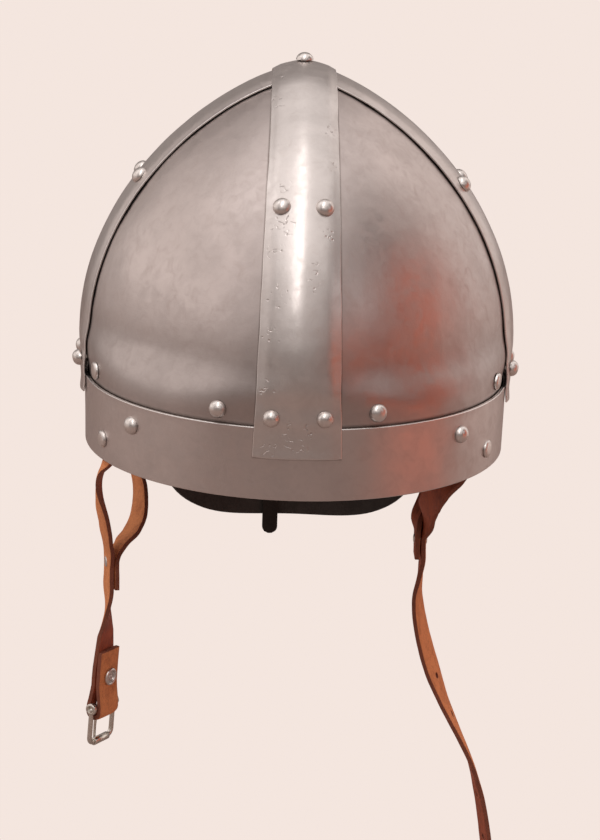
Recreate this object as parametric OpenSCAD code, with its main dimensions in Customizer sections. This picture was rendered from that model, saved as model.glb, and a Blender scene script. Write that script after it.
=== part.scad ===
// Riveted viking helmet. Four dome panels meet under two crossed straps, and a
// brow band holds their lower edges. A leather liner hangs inside, and two
// forked chin straps, one with a buckle, are riveted inside the band.
// The front is -Y and up is +Z. The origin is the centre of the rim, so the
// brow band's lower edge lies at z = 0.

/* [Brow band] */
// Outside width of the band at the rim
rim_w = 198.5; // [190:0.5:208]
// Outside length of the band at the rim, front to back
rim_l = 228; // [218:0.5:240]
// Height of the band
band_h = 33; // [31:0.5:36]
// Thickness of the band
band_t = 1.6; // [1.2:0.1:2.2]
// Extra half width of the band at its top edge
band_flare = 0.7; // [0.2:0.1:1.2]

/* [Dome] */
// Outside width of the four panels at the widest ring
dome_w = 202.4; // [199:0.2:212]
// Height of the widest ring above the rim
belly_z = 51; // [49:0.5:56]
// Height of the point where the panels' faces would meet
peak_z = 177; // [165:0.5:190]
// Power of the dome's section at its peak, where 2 is round and 1 is a cone
peak_power = 1.46; // [1.3:0.02:1.8]
// Power of the dome's section at its shoulder, where more is fuller
shoulder_power = 1.97; // [1.8:0.01:2.2]
// Power of the plan under the straps, where 2 is an oval and less is four sided
ridge_power = 1.55; // [1.5:0.05:1.9]
// Height above the band over which the plan goes from oval to four sided
ridge_rise = 27; // [20:1:40]
// Thickness of the panels
panel_t = 1.5; // [1:0.1:2]
// Depth that the panels reach down inside the band
panel_tuck = 18; // [15:0.5:20]
// Gap between two panels' edges, hidden under a strap
panel_split = 5; // [3:0.5:8]

/* [Straps] */
// Thickness of the crown and side straps
strap_t = 1.5; // [1.2:0.1:2.2]
// Width of the crown strap at the peak
crown_w_top = 27.4; // [24:0.2:32]
// Width of the crown strap at its ends
crown_w_end = 38; // [34:0.5:44]
// Width of the side strap at the peak
side_w_top = 32; // [28:0.5:36]
// Width of the side strap at its ends
side_w_end = 43; // [38:0.5:48]
// Length that the crown strap's ends lap over the band
crown_lap = 13.5; // [10:0.5:16]
// Length that the side strap's ends lap over the band
side_lap = 8; // [6:0.5:12]
// Length of the step where a strap climbs over another plate
joggle = 8; // [6:0.5:10]
// Gap between two plates that lie on each other
lap_gap = 0.3; // [0.3:0.05:0.4]

/* [Rivets] */
// Radius of the rivets' domed heads
head_r = 4.1; // [3.5:0.1:4.6]
// Height of the rivets' domed heads
head_h = 3.3; // [2.4:0.1:3.8]
// Height of the flatter heads, on the liner's side rivets and the chin straps' rivets
flat_h = 1.6; // [1.2:0.1:2]
// Radius of the rivets' shanks
shank_r = 1.9; // [1.5:0.1:2.2]
// Radial clearance of a shank in its hole
shank_gap = 0.1; // [0.05:0.05:0.2]
// Radius of the hammered ends inside
peen_r = 3; // [2.6:0.1:3.4]
// Height of the hammered ends inside
peen_h = 1.4; // [1:0.1:1.8]
// Height of the rivets that hold the liner, above the band's top
liner_rivet_rise = 6; // [5:0.5:7]
// Height of the straps' upper rivets above the rim
upper_rivet_z = 125; // [115:1:135]
// Depth of the rivets that join band and panels, below the band's top
band_rivet_drop = 10; // [9:0.5:11]
// Height of the chin straps' rivets above the rim
chin_rivet_z = 10.3; // [9.5:0.1:11]

/* [Liner] */
// Thickness of the liner's leather
liner_t = 2; // [1.6:0.1:2.4]
// Gap between leather and what it lies on
soft_gap = 0.35; // [0.3:0.05:0.5]
// Height of the liner's head band
liner_band_h = 22; // [20:1:26]
// Height of the liner's lower edge above the rim
liner_z = 28; // [27:0.5:30]
// Height of the tongues' tips above the head band
tongue_rise = 84; // [70:1:90]
// Distance of the tongues' tips from the middle, on the narrow side
tongue_end = 24; // [20:1:30]
// Share of the ring that the tongues cover at their roots
tongue_share = 0.82; // [0.7:0.02:0.9]
// Width of a tongue's tip as a share of its sector
tip_share = 0.9; // [0.84:0.02:0.94]
// Radius of the lace through the tongues' tips
lace_r = 0.9; // [0.8:0.05:1]
// Half height of the lace's weave over and under the tips
lace_wave = 4; // [3.8:0.1:4.2]

/* [Nape flap] */
// Thickness of the nape flap
flap_t = 2; // [1.6:0.1:2.4]
// Drop of the nape flap below the rim
flap_drop = 68.5; // [55:0.5:75]
// Half width of the nape flap
flap_half = 76; // [70:1:78]
// Power of the nape flap's rounded outline
flap_power = 3; // [2.4:0.1:4]
// Width of the thong that hangs from the nape flap
thong_w = 8; // [6:0.5:10]
// Drop of the thong below the nape flap's edge
thong_drop = 9; // [6:0.5:12]

/* [Chin straps] */
// Width of the chin straps
leather_w = 15; // [13:0.5:15.5]
// Thickness of the chin straps
leather_t = 2.5; // [2:0.1:2.8]
// Gap between two layers of strap
layer_gap = 0.3; // [0.3:0.05:0.4]
// Radius of the bend that each strap turns about, below the rim
bend_r = 3.8; // [3.6:0.1:4.2]
// Gap round that bend
bend_gap = 0.35; // [0.3:0.05:0.5]
// Radius of the shank of the rivets through the straps
strap_shank_r = 1.5; // [1.2:0.1:1.8]
// Radius of the heads of the rivets that join the straps' branches
strap_head_r = 3.2; // [2.8:0.1:3.6]
// Thickness of the washers under the rivets' hammered ends
washer_t = 0.8; // [0.6:0.1:1]
// Radius of the washers
washer_r = 4.3; // [4:0.1:4.5]

/* [Buckle] */
// Outside width of the buckle's frame
buckle_w = 20.6; // [20.2:0.1:22]
// Distance from the heel bar to the far bar
buckle_l = 17.6; // [16:0.2:20]
// Radius of the frame's wire
wire_r = 1.2; // [1:0.05:1.3]
// Corner radius of the frame at the far bar
corner_r = 3; // [2.6:0.1:3.4]
// Outer radius of the roller on the far bar
roller_r = 1.9; // [1.7:0.05:2.1]
// Radial clearance of the roller on its bar
roller_gap = 0.07; // [0.05:0.01:0.1]
// Radius of the prong's wire
prong_r = 1; // [0.8:0.05:1.1]
// Side clearance of the prong in the strap's slot
prong_gap = 1.1; // [0.8:0.1:1.4]
// Turn of the buckle about the vertical, seen from above
buckle_turn = 58; // [50:1:65]
// Swing of the buckle's end of the strap to the back
buckle_swing = 4; // [0:0.5:8]
// Distance of the loop's rivet above the heel bar
loop_rivet_z = 16; // [14:0.5:18]
// Length of the folded end above the heel bar
fold_l = 32; // [28:1:36]
// Gap inside the fold, round the heel bar
fold_slack = 0.8; // [0.5:0.1:1]
// Depth that the fold's round end hangs below the heel bar
fold_drop = 1.3; // [0:0.1:1.6]
// Radius of the collars at the heel bar's ends
collar_r = 2.4; // [1.8:0.1:2.8]
// Spacing of the holes in the long strap
hole_step = 22; // [18:1:23]
// Radius of those holes
hole_r = 1.5; // [1.3:0.1:1.8]

/* [Hidden] */
$fn = 48;

steel = [0.66, 0.61, 0.58];
strap_steel = [0.74, 0.69, 0.66];
rivet_steel = [0.84, 0.81, 0.78];
black_leather = [0.16, 0.15, 0.14];
tan_leather = [0.62, 0.34, 0.2];
buckle_metal = [0.72, 0.7, 0.66];

// Frame of the dome. Every plate is an offset of one face: the panels' outer face.
wall_half = rim_w / 2 - band_t - lap_gap;
plan_k = (rim_l / 2 - band_t - lap_gap) / wall_half;
belly_half = dome_w / 2;
rise = peak_z - belly_z;
tuck_z = band_h - 2;
panel_z = band_h - panel_tuck;
liner_rivet_z = band_h + liner_rivet_rise;
band_rivet_z = band_h - band_rivet_drop;
lap_margin = 1.5;

// Distance of each layer from the panels' outer face, outward positive.
strap_in = lap_gap;
strap_out = lap_gap + strap_t;
band_in = lap_gap;
band_out = lap_gap + band_t;
liner_out = -panel_t - soft_gap - 0.25;
liner_in = liner_out - liner_t;
flap_out = liner_in - soft_gap;
flap_in = flap_out - flap_t;
tab_gap = 0.5;
tab_mid = -leather_t / 2 - tab_gap;

// Places of the rivets: x on the crown strap, y on the side strap, else plan angles.
crown_upper_x = 9;
crown_lower_x = 11.3;
crown_drop = 0.5;
side_rise = 1.1;
side_upper_y = 9.5;
side_lower_y = 12.5;
liner_angles = [20, 69];
band_angle = 42;
chin_angle = 27.5;

function limit(v) = min(1, max(0, v));
function ease(v) = let(c = limit(v)) c * c * (3 - 2 * c);
function unit(v) = v / norm(v);
function flatten(rows) = [for (r = rows) each r];
function mix(a, b, t) = a + (b - a) * t;

// Half width of the panels' outer face at a height.
function wall(z) = wall_half + band_flare * limit(z / band_h);
function half(z) =
    z >= peak_z ? 0
    : z >= belly_z ? belly_half * pow(1 - pow((z - belly_z) / rise, shoulder_power), 1 / peak_power)
    : mix(belly_half, wall(z), (1 - cos(180 * limit((belly_z - z) / (belly_z - tuck_z)))) / 2);
// Height of the same face at a half width, above the belly.
function crest(r) = belly_z + rise * pow(1 - pow(r / belly_half, peak_power), 1 / shoulder_power);
// Power of the plan at a height, and a point's half width in that plan.
function plan_power(z) = mix(2, ridge_power, ease((z - band_h) / ridge_rise));
function plan_half(p) =
    let(m = plan_power(p.z)) pow(pow(abs(p.x), m) + pow(abs(p.y) / plan_k, m), 1 / m);
// Level is below 0 inside the face and above 0 outside it.
function level(p) =
    let(r = plan_half(p))
    p.z > belly_z
    ? pow(r / belly_half, peak_power) + pow((p.z - belly_z) / rise, shoulder_power) - 1
    : pow(r / half(p.z), peak_power) - 1;
function slope(p, step) = level(p + step) - level(p - step);
function normal(p) = let(e = 0.02) unit([slope(p, [e, 0, 0]), slope(p, [0, e, 0]), slope(p, [0, 0, e])]);
// Points of the face: at a plan angle, at an x or at a y, all at a height.
function at_angle(a, z) =
    let(m = plan_power(z), r = half(z) * pow(pow(abs(cos(a)), m) + pow(abs(sin(a)), m), -1 / m))
    [r * cos(a), plan_k * r * sin(a), z];
function y_at(x, z) = let(m = plan_power(z)) plan_k * pow(pow(half(z), m) - pow(abs(x), m), 1 / m);
function x_at(y, z) = let(m = plan_power(z)) pow(pow(half(z), m) - pow(abs(y) / plan_k, m), 1 / m);
function lifted(p, d) = p + normal(p) * d;

// Faces of a sheet between an outer and an inner grid of n rows of m points.
// keep(i, j) is 1 where the cell exists. A ring's last column joins its first.
function quad(a, b, c, d) = [[a, b, c], [a, c, d]];
function cell(keep, i, j) = i < 0 || j < 0 || i >= len(keep) || j >= len(keep[0]) ? 0 : keep[i][j];
function sheet_faces(n, m, keep, ring) =
    let(k = n * m, w = len(keep[0]))
    [
        for (i = [0:n - 2])
            for (j = [0:w - 1])
                if (keep[i][j] == 1)
                    let(
                        a = i * m + j,
                        b = i * m + (j + 1) % m,
                        c = b + m,
                        d = a + m,
                        left = cell(keep, i, ring ? (j + w - 1) % w : j - 1),
                        right = cell(keep, i, ring ? (j + 1) % w : j + 1)
                    )
                    each concat(
                        quad(a, d, c, b),
                        quad(a + k, b + k, c + k, d + k),
                        cell(keep, i - 1, j) == 1 ? [] : quad(a, b, b + k, a + k),
                        cell(keep, i + 1, j) == 1 ? [] : quad(d, d + k, c + k, c),
                        left == 1 ? [] : quad(d, a, a + k, d + k),
                        right == 1 ? [] : quad(b, c, c + k, b + k)
                    )
    ];
function all_cells(n, m) = [for (i = [1:n]) [for (j = [1:m]) 1]];
module sheet(outer, inner, ring = false) {
    n = len(outer);
    m = len(outer[0]);
    polyhedron(
        points = concat(flatten(outer), flatten(inner)),
        faces = sheet_faces(n, m, all_cells(n - 1, ring ? m : m - 1), ring),
        convexity = 6
    );
}

// A solid through rings of points, each counterclockwise seen from the next.
function tube_faces(n, m) = [
    [for (j = [0:m - 1]) j],
    for (i = [0:n - 2])
        for (j = [0:m - 1])
            let(a = i * m + j, b = i * m + (j + 1) % m)
            each quad(a, a + m, b + m, b),
    [for (j = [m - 1:-1:0]) (n - 1) * m + j]
];
module tube(rings) {
    polyhedron(points = flatten(rings), faces = tube_faces(len(rings), len(rings[0])), convexity = 8);
}

// A leather strip along [x, y, z, turn] points, where turn is the direction of
// its width, seen from above.
function curve(a, b, c, d, t) =
    (2 * b + (c - a) * t + (2 * a - 5 * b + 4 * c - d) * t * t + (3 * b - a - 3 * c + d) * t * t * t) / 2;
function smooth(route, steps) =
    let(n = len(route))
    [
        for (i = [0:n - 2])
            for (s = [0:steps - 1])
                curve(
                    i == 0 ? 2 * route[0] - route[1] : route[i - 1],
                    route[i],
                    route[i + 1],
                    i == n - 2 ? 2 * route[n - 1] - route[n - 2] : route[i + 2],
                    s / steps
                ),
        route[n - 1]
    ];
function place(q) = [q[0], q[1], q[2]];
function along(line, i) = unit(place(line[min(i + 1, len(line) - 1)]) - place(line[max(i - 1, 0)]));
function across(line, i) =
    let(ahead = along(line, i), flat_dir = [cos(line[i][3]), sin(line[i][3]), 0])
    unit(flat_dir - ahead * (flat_dir * ahead));
// Share of the full width, less over the last stations of a pointed end.
function taper(i, n, pointed) = pointed ? min(1, [0.12, 0.62, 0.92, 1][min(3, n - 1 - i)]) : 1;
function strip_ring(line, i, w, t, pointed) =
    let(
        p = place(line[i]),
        side = across(line, i) * w / 2 * taper(i, len(line), pointed),
        out = unit(cross(along(line, i), side)) * t / 2
    )
    [p - side - out, p + side - out, p + side + out, p - side + out];
module strip(line, w, t, pointed = false) {
    tube([for (i = [0:len(line) - 1]) strip_ring(line, i, w, t, pointed)]);
}
// A drill through a strip at a distance back from its end.
function run_back(line, i, s) =
    let(d = norm(place(line[i]) - place(line[i - 1])))
    s > d && i > 1 ? run_back(line, i - 1, s - d) : [i, s / d];
module strip_drill(line, s, r) {
    at = run_back(line, len(line) - 1, s);
    i = at[0];
    p = place(line[i]) * (1 - at[1]) + place(line[i - 1]) * at[1];
    out = cross(along(line, i), across(line, i));
    translate(p) rotate([0, acos(out.z), atan2(out.y, out.x)]) cylinder(r = r, h = 16, center = true);
}

// Moves its children so that their +Z points along the face's normal at p.
module stand_on(p) {
    n = normal(p);
    translate(p) rotate([0, acos(n.z), atan2(n.y, n.x)]) children();
}
module cap(r, h) {
    big = (r * r + h * h) / (2 * h);
    rotate_extrude()
        intersection() {
            translate([0, h - big]) circle(big);
            square([r, h]);
        }
}
// A rivet along Z, from the hammered end below z = low to the head above z = high.
module rivet(low, high, r_head = head_r, h_head = head_h, r_shank = shank_r) {
    translate([0, 0, high]) cap(r_head, h_head);
    translate([0, 0, low]) cylinder(r = r_shank, h = high - low);
    translate([0, 0, low]) mirror([0, 0, 1]) cap(peen_r, peen_h);
}
module washer(z) {
    translate([0, 0, z - washer_t])
        difference() {
            cylinder(r = washer_r, h = washer_t);
            translate([0, 0, -1]) cylinder(r = shank_r + shank_gap, h = washer_t + 2);
        }
}
module drill() {
    reach = 14;
    translate([0, 0, -reach]) cylinder(r = shank_r + shank_gap, h = 2 * reach);
}

// Rivet places in the first quadrant, and the other quadrants by sign.
quadrants = [[-1, -1], [1, -1], [-1, 1], [1, 1]];
function crown_upper() = [crown_upper_x, y_at(crown_upper_x, upper_rivet_z), upper_rivet_z];
crown_rivet_z = liner_rivet_z - crown_drop;
side_rivet_z = liner_rivet_z + side_rise;
function crown_lower() = [crown_lower_x, y_at(crown_lower_x, crown_rivet_z), crown_rivet_z];
function side_upper() = [x_at(side_upper_y, upper_rivet_z), side_upper_y, upper_rivet_z];
function side_lower() = [x_at(side_lower_y, side_rivet_z), side_lower_y, side_rivet_z];
function flip(p, q) = [p.x * q.x, p.y * q.y, p.z];
module in_quadrants(p, which = quadrants) {
    for (q = which) stand_on(flip(p, q)) children();
}
front = [for (q = quadrants) if (q.y < 0) q];
rear = [for (q = quadrants) if (q.y > 0) q];
left = [for (q = quadrants) if (q.x < 0) q];
right = [for (q = quadrants) if (q.x > 0) q];

// Dome panels: rows by height, columns from the side strap to the crown strap.
low_rows = 8;
high_rows = 14;
panel_cols = 13;
panel_top_r = 9;
top_theta = acos(pow(panel_top_r / belly_half, peak_power / 2));
function row_z(i) =
    i <= low_rows
    ? mix(panel_z, belly_z, i / low_rows)
    : belly_z + rise * pow(sin(top_theta * (i - low_rows) / high_rows), 2 / shoulder_power);
function panel_row(i) =
    let(
        z = row_z(i),
        c = panel_split / 2,
        from = atan2(c / plan_k, x_at(c, z)),
        to = atan2(y_at(c, z) / plan_k, c)
    )
    [for (j = [0:panel_cols]) at_angle(mix(from, to, j / panel_cols), z)];
module panel(sx, sy) {
    rows = [for (i = [0:low_rows + high_rows]) panel_row(i)];
    inner = [for (r = rows) [for (p = r) lifted(p, -panel_t)]];
    mirror([sx < 0 ? 1 : 0, 0, 0])
        mirror([0, sy < 0 ? 1 : 0, 0])
            difference() {
                sheet(rows, inner);
                for (p = [crown_upper(), crown_lower(), side_upper(), side_lower()]) stand_on(p) drill();
                for (a = liner_angles) stand_on(at_angle(a, liner_rivet_z)) drill();
                stand_on(at_angle(band_angle, band_rivet_z)) drill();
            }
}
module panel_front_left() color(steel) panel(-1, -1);
module panel_front_right() color(steel) panel(1, -1);
module panel_rear_left() color(steel) panel(-1, 1);
module panel_rear_right() color(steel) panel(1, 1);

// Brow band: a closed hoop outside the panels' lower edges.
band_cols = 72;
module brow_band() {
    levels = [0, band_h / 2, band_h];
    rows = [for (z = levels) [for (j = [0:band_cols - 1]) at_angle(360 * j / band_cols, z)]];
    color(strap_steel)
        difference() {
            sheet(
                [for (r = rows) [for (p = r) lifted(p, band_out)]],
                [for (r = rows) [for (p = r) lifted(p, band_in)]],
                true
            );
            in_quadrants(at_angle(band_angle, band_rivet_z)) drill();
            in_quadrants(at_angle(chin_angle, chin_rivet_z)) drill();
        }
}

// Straps over the dome. Stations run from the peak to the rim: evenly over the
// step at the crossing, by angle down to the belly, then evenly to the end.
top_steps = 7;
mid_steps = 13;
low_steps = 9;
strap_cols = 6;
crossing = side_w_top / 2 + lap_margin;
crest_half = (crossing + joggle) / plan_k;
crest_theta = acos(pow(crest_half / belly_half, peak_power / 2));
function station(i, end_z) =
    i <= top_steps
    ? let(r = crest_half * i / top_steps) [r, crest(r)]
    : i <= top_steps + mid_steps
    ? let(a = crest_theta * (1 - (i - top_steps) / mid_steps))
      [belly_half * pow(cos(a), 2 / peak_power), belly_z + rise * pow(sin(a), 2 / shoulder_power)]
    : let(z = low_stop(i - top_steps - mid_steps, end_z)) [half(z), z];
function low_stop(k, end_z) =
    k <= 5 ? mix(belly_z, step_z, k / 5) : mix(band_h, end_z, (k - 6) / (low_steps - 6));
function seat(p, n, low, high, k) =
    k == 0
    ? p + n * (low + high) / 2
    : level(p + n * (low + high) / 2) > 0
    ? seat(p, n, low, (low + high) / 2, k - 1)
    : seat(p, n, (low + high) / 2, high, k - 1);
// Lift of a strap's underside: over the band, and over a plate at the crossing.
band_lift = band_t + lap_gap;
step_z = band_h + 0.9;
function over_band(z) =
    band_lift / 2 * (ease((step_z + 2.2 * joggle - z) / joggle) + limit((step_z - z) / (step_z - band_h)));
function over_plate(d) = ease((crossing + joggle - d) / joggle) * (strap_t + lap_gap);
// A strap along Y, or along X where turned is 1, as rows of points on the face.
function strap_rows(w_top, w_end, end_z, turned) =
    let(
        n = top_steps + mid_steps + low_steps,
        stops = [for (i = [0:n]) station(i, end_z)],
        run = [for (i = 0, s = 0; i <= n; s = i < n ? s + norm(stops[i + 1] - stops[i]) : s, i = i + 1) s]
    )
    [
        for (i = [-n:n])
            let(
                at = stops[abs(i)],
                w = mix(w_top, w_end, run[abs(i)] / run[n]) / 2,
                mid = turned == 1
                    ? [(i < 0 ? -1 : 1) * at[0], 0, at[1]]
                    : [0, (i < 0 ? -1 : 1) * plan_k * at[0], at[1]],
                n_mid = i == 0 ? [0, 0, 1] : normal(mid)
            )
            [
                for (j = [-strap_cols / 2:strap_cols / 2])
                    let(c = w * j / (strap_cols / 2), side = turned == 1 ? [0, c, 0] : [-c, 0, 0])
                    j == 0 ? mid : seat(mid + side, n_mid, -18, 0.5, 18)
            ]
    ];
module side_strap() {
    rows = strap_rows(side_w_top, side_w_end, band_h - side_lap, 1);
    function lift(p) = strap_in + over_band(p.z);
    color(strap_steel)
        difference() {
            sheet(
                [for (r = rows) [for (p = r) lifted(p, lift(p) + strap_t)]],
                [for (r = rows) [for (p = r) lifted(p, lift(p))]]
            );
            in_quadrants(side_upper()) drill();
            in_quadrants(side_lower()) drill();
            translate([0, 0, peak_z]) drill();
        }
}
module crown_strap() {
    rows = strap_rows(crown_w_top, crown_w_end, band_h - crown_lap, 0);
    function lift(p) = strap_in + over_band(p.z) + (p.z > belly_z ? over_plate(abs(p.y)) : 0);
    color(strap_steel)
        difference() {
            sheet(
                [for (r = rows) [for (p = r) lifted(p, lift(p) + strap_t)]],
                [for (r = rows) [for (p = r) lifted(p, lift(p))]]
            );
            in_quadrants(crown_upper()) drill();
            in_quadrants(crown_lower()) drill();
            translate([0, 0, peak_z]) drill();
        }
}

// Rivets. Those at the liner's height also go through the liner and a washer,
// and the rear ones near the middle through the nape flap as well.
plate_low = -panel_t - 0.45;
washer_gap = 0.65;
liner_low = liner_in - washer_gap - washer_t - 0.1;
flap_low = flap_in - washer_gap - washer_t - 0.1;
low_seat = strap_out + band_lift / 2 + 0.1;
module peak_rivet() {
    color(rivet_steel) translate([0, 0, peak_z]) rivet(-0.7, strap_out + strap_t + lap_gap + 0.05);
}
module crown_strap_rivets() {
    color(rivet_steel) {
        in_quadrants(crown_upper()) rivet(plate_low, strap_out + 0.05);
        in_quadrants(crown_lower(), front) rivet(liner_low, low_seat);
        in_quadrants(crown_lower(), rear) rivet(flap_low, low_seat);
    }
}
module side_strap_rivets() {
    color(rivet_steel) {
        in_quadrants(side_upper()) rivet(plate_low, strap_out + 0.05);
        in_quadrants(side_lower()) rivet(liner_low, low_seat);
    }
}
module liner_rivets() {
    color(rivet_steel) {
        in_quadrants(at_angle(liner_angles[0], liner_rivet_z)) rivet(liner_low, 0.05, head_r, flat_h);
        in_quadrants(at_angle(liner_angles[1], liner_rivet_z), front) rivet(liner_low, 0.05);
        in_quadrants(at_angle(liner_angles[1], liner_rivet_z), rear) rivet(flap_low, 0.05);
    }
}
module band_rivets() {
    color(rivet_steel) in_quadrants(at_angle(band_angle, band_rivet_z)) rivet(plate_low, band_out + 0.05);
}
tab_low = -leather_t - tab_gap - soft_gap - washer_t - 0.1;
module chin_strap_rivets() {
    color(rivet_steel)
        in_quadrants(at_angle(chin_angle, chin_rivet_z))
            rivet(tab_low, band_out + 0.05, head_r, flat_h);
}
module liner_washers() {
    high = liner_in - washer_gap;
    color(rivet_steel) {
        in_quadrants(crown_lower(), front) washer(high);
        in_quadrants(side_lower()) washer(high);
        in_quadrants(at_angle(liner_angles[0], liner_rivet_z)) washer(high);
        in_quadrants(at_angle(liner_angles[1], liner_rivet_z), front) washer(high);
        in_quadrants(crown_lower(), rear) washer(flap_in - washer_gap);
        in_quadrants(at_angle(liner_angles[1], liner_rivet_z), rear) washer(flap_in - washer_gap);
    }
}
module chin_strap_washers() {
    color(rivet_steel) in_quadrants(at_angle(chin_angle, chin_rivet_z)) washer(-leather_t - tab_gap - soft_gap);
}

// Liner: a head band and eight tongues cut from one piece of leather.
tongues = 8;
sector = 360 / tongues;
tongue_cols = 6;
sector_cols = 8;
ring_rows = 3;
tongue_rows = 7;
liner_top = liner_z + liner_band_h;
liner_cols = tongues * sector_cols;
function column_angle(j, share) =
    let(k = floor(j / sector_cols), c = j % sector_cols)
    c <= tongue_cols
    ? sector * (k + 0.5) + sector * share * (c / tongue_cols - 0.5)
    : mix(
        sector * (k + 0.5) + sector * share / 2,
        sector * (k + 1.5) - sector * share / 2,
        (c - tongue_cols) / (sector_cols - tongue_cols)
      );
// A tongue's line: level with the head band at its root, flat at its tip.
function tongue_line(t) =
    let(root = half(liner_top) + liner_out)
    [tongue_end + (root - tongue_end) * cos(90 * t), liner_top + tongue_rise * pow(sin(90 * t), 1.1)];
function liner_point(i, j, d) =
    i <= ring_rows
    ? lifted(at_angle(column_angle(j, tongue_share), mix(liner_z, liner_top, i / ring_rows)), d)
    : let(
        t = (i - ring_rows) / tongue_rows,
        at = tongue_line(t),
        a = column_angle(j, tongue_share * mix(1, tip_share, t)),
        m = plan_power(at[1]),
        r = pow(pow(abs(cos(a)), m) + pow(abs(sin(a)), m), -1 / m),
        out = [cos(a) * cos(90 * t), sin(a) * cos(90 * t), sin(90 * t)]
      )
      [at[0] * r * cos(a), plan_k * at[0] * r * sin(a), at[1]] + out * (d - liner_out);
module liner() {
    n = ring_rows + tongue_rows + 1;
    keep = [
        for (i = [0:n - 2])
            [for (j = [0:liner_cols - 1]) i < ring_rows || j % sector_cols < tongue_cols ? 1 : 0]
    ];
    outer = [for (i = [0:n - 1]) [for (j = [0:liner_cols - 1]) liner_point(i, j, liner_out)]];
    inner = [for (i = [0:n - 1]) [for (j = [0:liner_cols - 1]) liner_point(i, j, liner_in)]];
    color(black_leather)
        difference() {
            polyhedron(
                points = concat(flatten(outer), flatten(inner)),
                faces = sheet_faces(n, liner_cols, keep, true),
                convexity = 10
            );
            in_quadrants(crown_lower()) drill();
            in_quadrants(side_lower()) drill();
            for (a = liner_angles) in_quadrants(at_angle(a, liner_rivet_z)) drill();
            for (k = [0:tongues - 1], d = [-slot_a, slot_a]) lace_slot(sector * (k + 0.5) + d);
        }
}
lace_t = 0.86;
lace_half = tongue_line(lace_t)[0];
lace_z = tongue_line(lace_t)[1] - liner_t / 2;
// Half the angle between a tongue's two slots.
slot_a = 8;
function lace_point(a) =
    let(r = lace_half * pow(pow(abs(cos(a)), ridge_power) + pow(abs(sin(a)), ridge_power), -1 / ridge_power))
    [r * cos(a), plan_k * r * sin(a), lace_z + lace_wave * (-cos(tongues * a) - cos(tongues * slot_a))];
module lace_slot(a) {
    p = lace_point(a);
    ahead = lace_point(a + 1) - lace_point(a - 1);
    translate([p.x, p.y, lace_z])
        rotate(atan2(ahead.y, ahead.x))
            cube([6.8, 2 * lace_r + 1.4, 12], center = true);
}
module liner_lace() {
    steps = 80;
    sides = 6;
    points = [
        for (i = [0:steps - 1])
            let(
                a = 360 * i / steps,
                p = lace_point(a),
                ahead = unit(lace_point(a + 1) - lace_point(a - 1)),
                out = unit(cross(ahead, [0, 0, 1])),
                up = cross(out, ahead)
            )
            for (s = [0:sides - 1]) p + lace_r * (out * cos(360 * s / sides) + up * sin(360 * s / sides))
    ];
    faces = [
        for (i = [0:steps - 1])
            for (s = [0:sides - 1])
                let(
                    a = i * sides + s,
                    b = i * sides + (s + 1) % sides,
                    c = ((i + 1) % steps) * sides + (s + 1) % sides,
                    d = ((i + 1) % steps) * sides + s
                )
                each quad(a, b, c, d)
    ];
    color(black_leather) polyhedron(points = points, faces = faces, convexity = 6);
}

// Nape flap: hangs from the liner's rear rivets, inside the band, below the rim.
flap_cols = 20;
flap_rows = 8;
flap_top = liner_rivet_z + 4;
function flap_low_z(x) =
    flap_top - (flap_top + flap_drop) * pow(1 - pow(abs(x) / flap_half, flap_power), 1 / flap_power);
function flap_x(j) = 0.985 * flap_half * sin(90 * (2 * j / flap_cols - 1));
function flap_point(i, j, d) =
    let(
        x = flap_x(j),
        knee = liner_z - 2,
        z = i <= 5 ? mix(flap_low_z(x), knee, i / 5) : mix(knee, flap_top, (i - 5) / (flap_rows - 5))
    )
    lifted([x, y_at(x, z), z], d);
module nape_flap() {
    color(black_leather)
        difference() {
            sheet(
                [for (i = [0:flap_rows]) [for (j = [flap_cols:-1:0]) flap_point(i, j, flap_out)]],
                [for (i = [0:flap_rows]) [for (j = [flap_cols:-1:0]) flap_point(i, j, flap_in)]]
            );
            in_quadrants(crown_lower(), rear) drill();
            in_quadrants(at_angle(liner_angles[1], liner_rivet_z), rear) drill();
        }
}
thong_x = -9;
module nape_thong() {
    at = [thong_x, y_at(thong_x, 0), 0];
    n = normal(at);
    p = at + n * (flap_in - soft_gap);
    top = -flap_drop + 14;
    low = -flap_drop - thong_drop;
    color(black_leather)
        translate(p)
            rotate([0, 0, atan2(n.y, n.x) - 90])
                rotate([90, 0, 0])
                    linear_extrude(flap_t) {
                        translate([-thong_w / 2, low + thong_w / 2])
                            square([thong_w, top - low - thong_w / 2]);
                        translate([0, low + thong_w / 2]) circle(thong_w / 2);
                    }
}

// Chin straps. Each is a long strip and a short branch, riveted inside the band
// at the front and the back and to each other below the ear. They bend about a
// line below the rim, so each strip is an end held by its rivet and a hanging
// length that turns about that line.
bend_z = -bend_r - 0.6;
// The routes are those of the photo's helmet, and they grow with the rim's width.
route_rim_w = 198.5;
hang = rim_w / route_rim_w;
function hung(route) = [for (q = route) [q[0] * hang, q[1] * hang, q[2] * hang, q[3]]];
left_bend_x = -88 * hang;
right_bend_x = 83.4 * hang;
// The end of a strip inside the band: from above the rivet to the rim.
function tab_point(sx, sy, y, z) =
    let(p = [sx * x_at(y, z), sy * y, z], q = lifted(p, tab_mid), n = normal(p))
    [q.x, q.y, q.z, atan2(-n.x, n.y)];
rivet_y = at_angle(chin_angle, chin_rivet_z).y;
tab_route_z = [panel_z - 1.3, chin_rivet_z, 2.5];

// Turns of the width direction: kept within half a turn of each other.
function near(a, b) = a - 180 * round((a - b) / 180);
function tab_route(sx, sy, lean, turn) = [
    for (z = tab_route_z)
        let(q = tab_point(sx, sy, rivet_y - lean * max(0, chin_rivet_z - z), z))
        [q[0], q[1], q[2], near(q[3], turn)]
];

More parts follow.
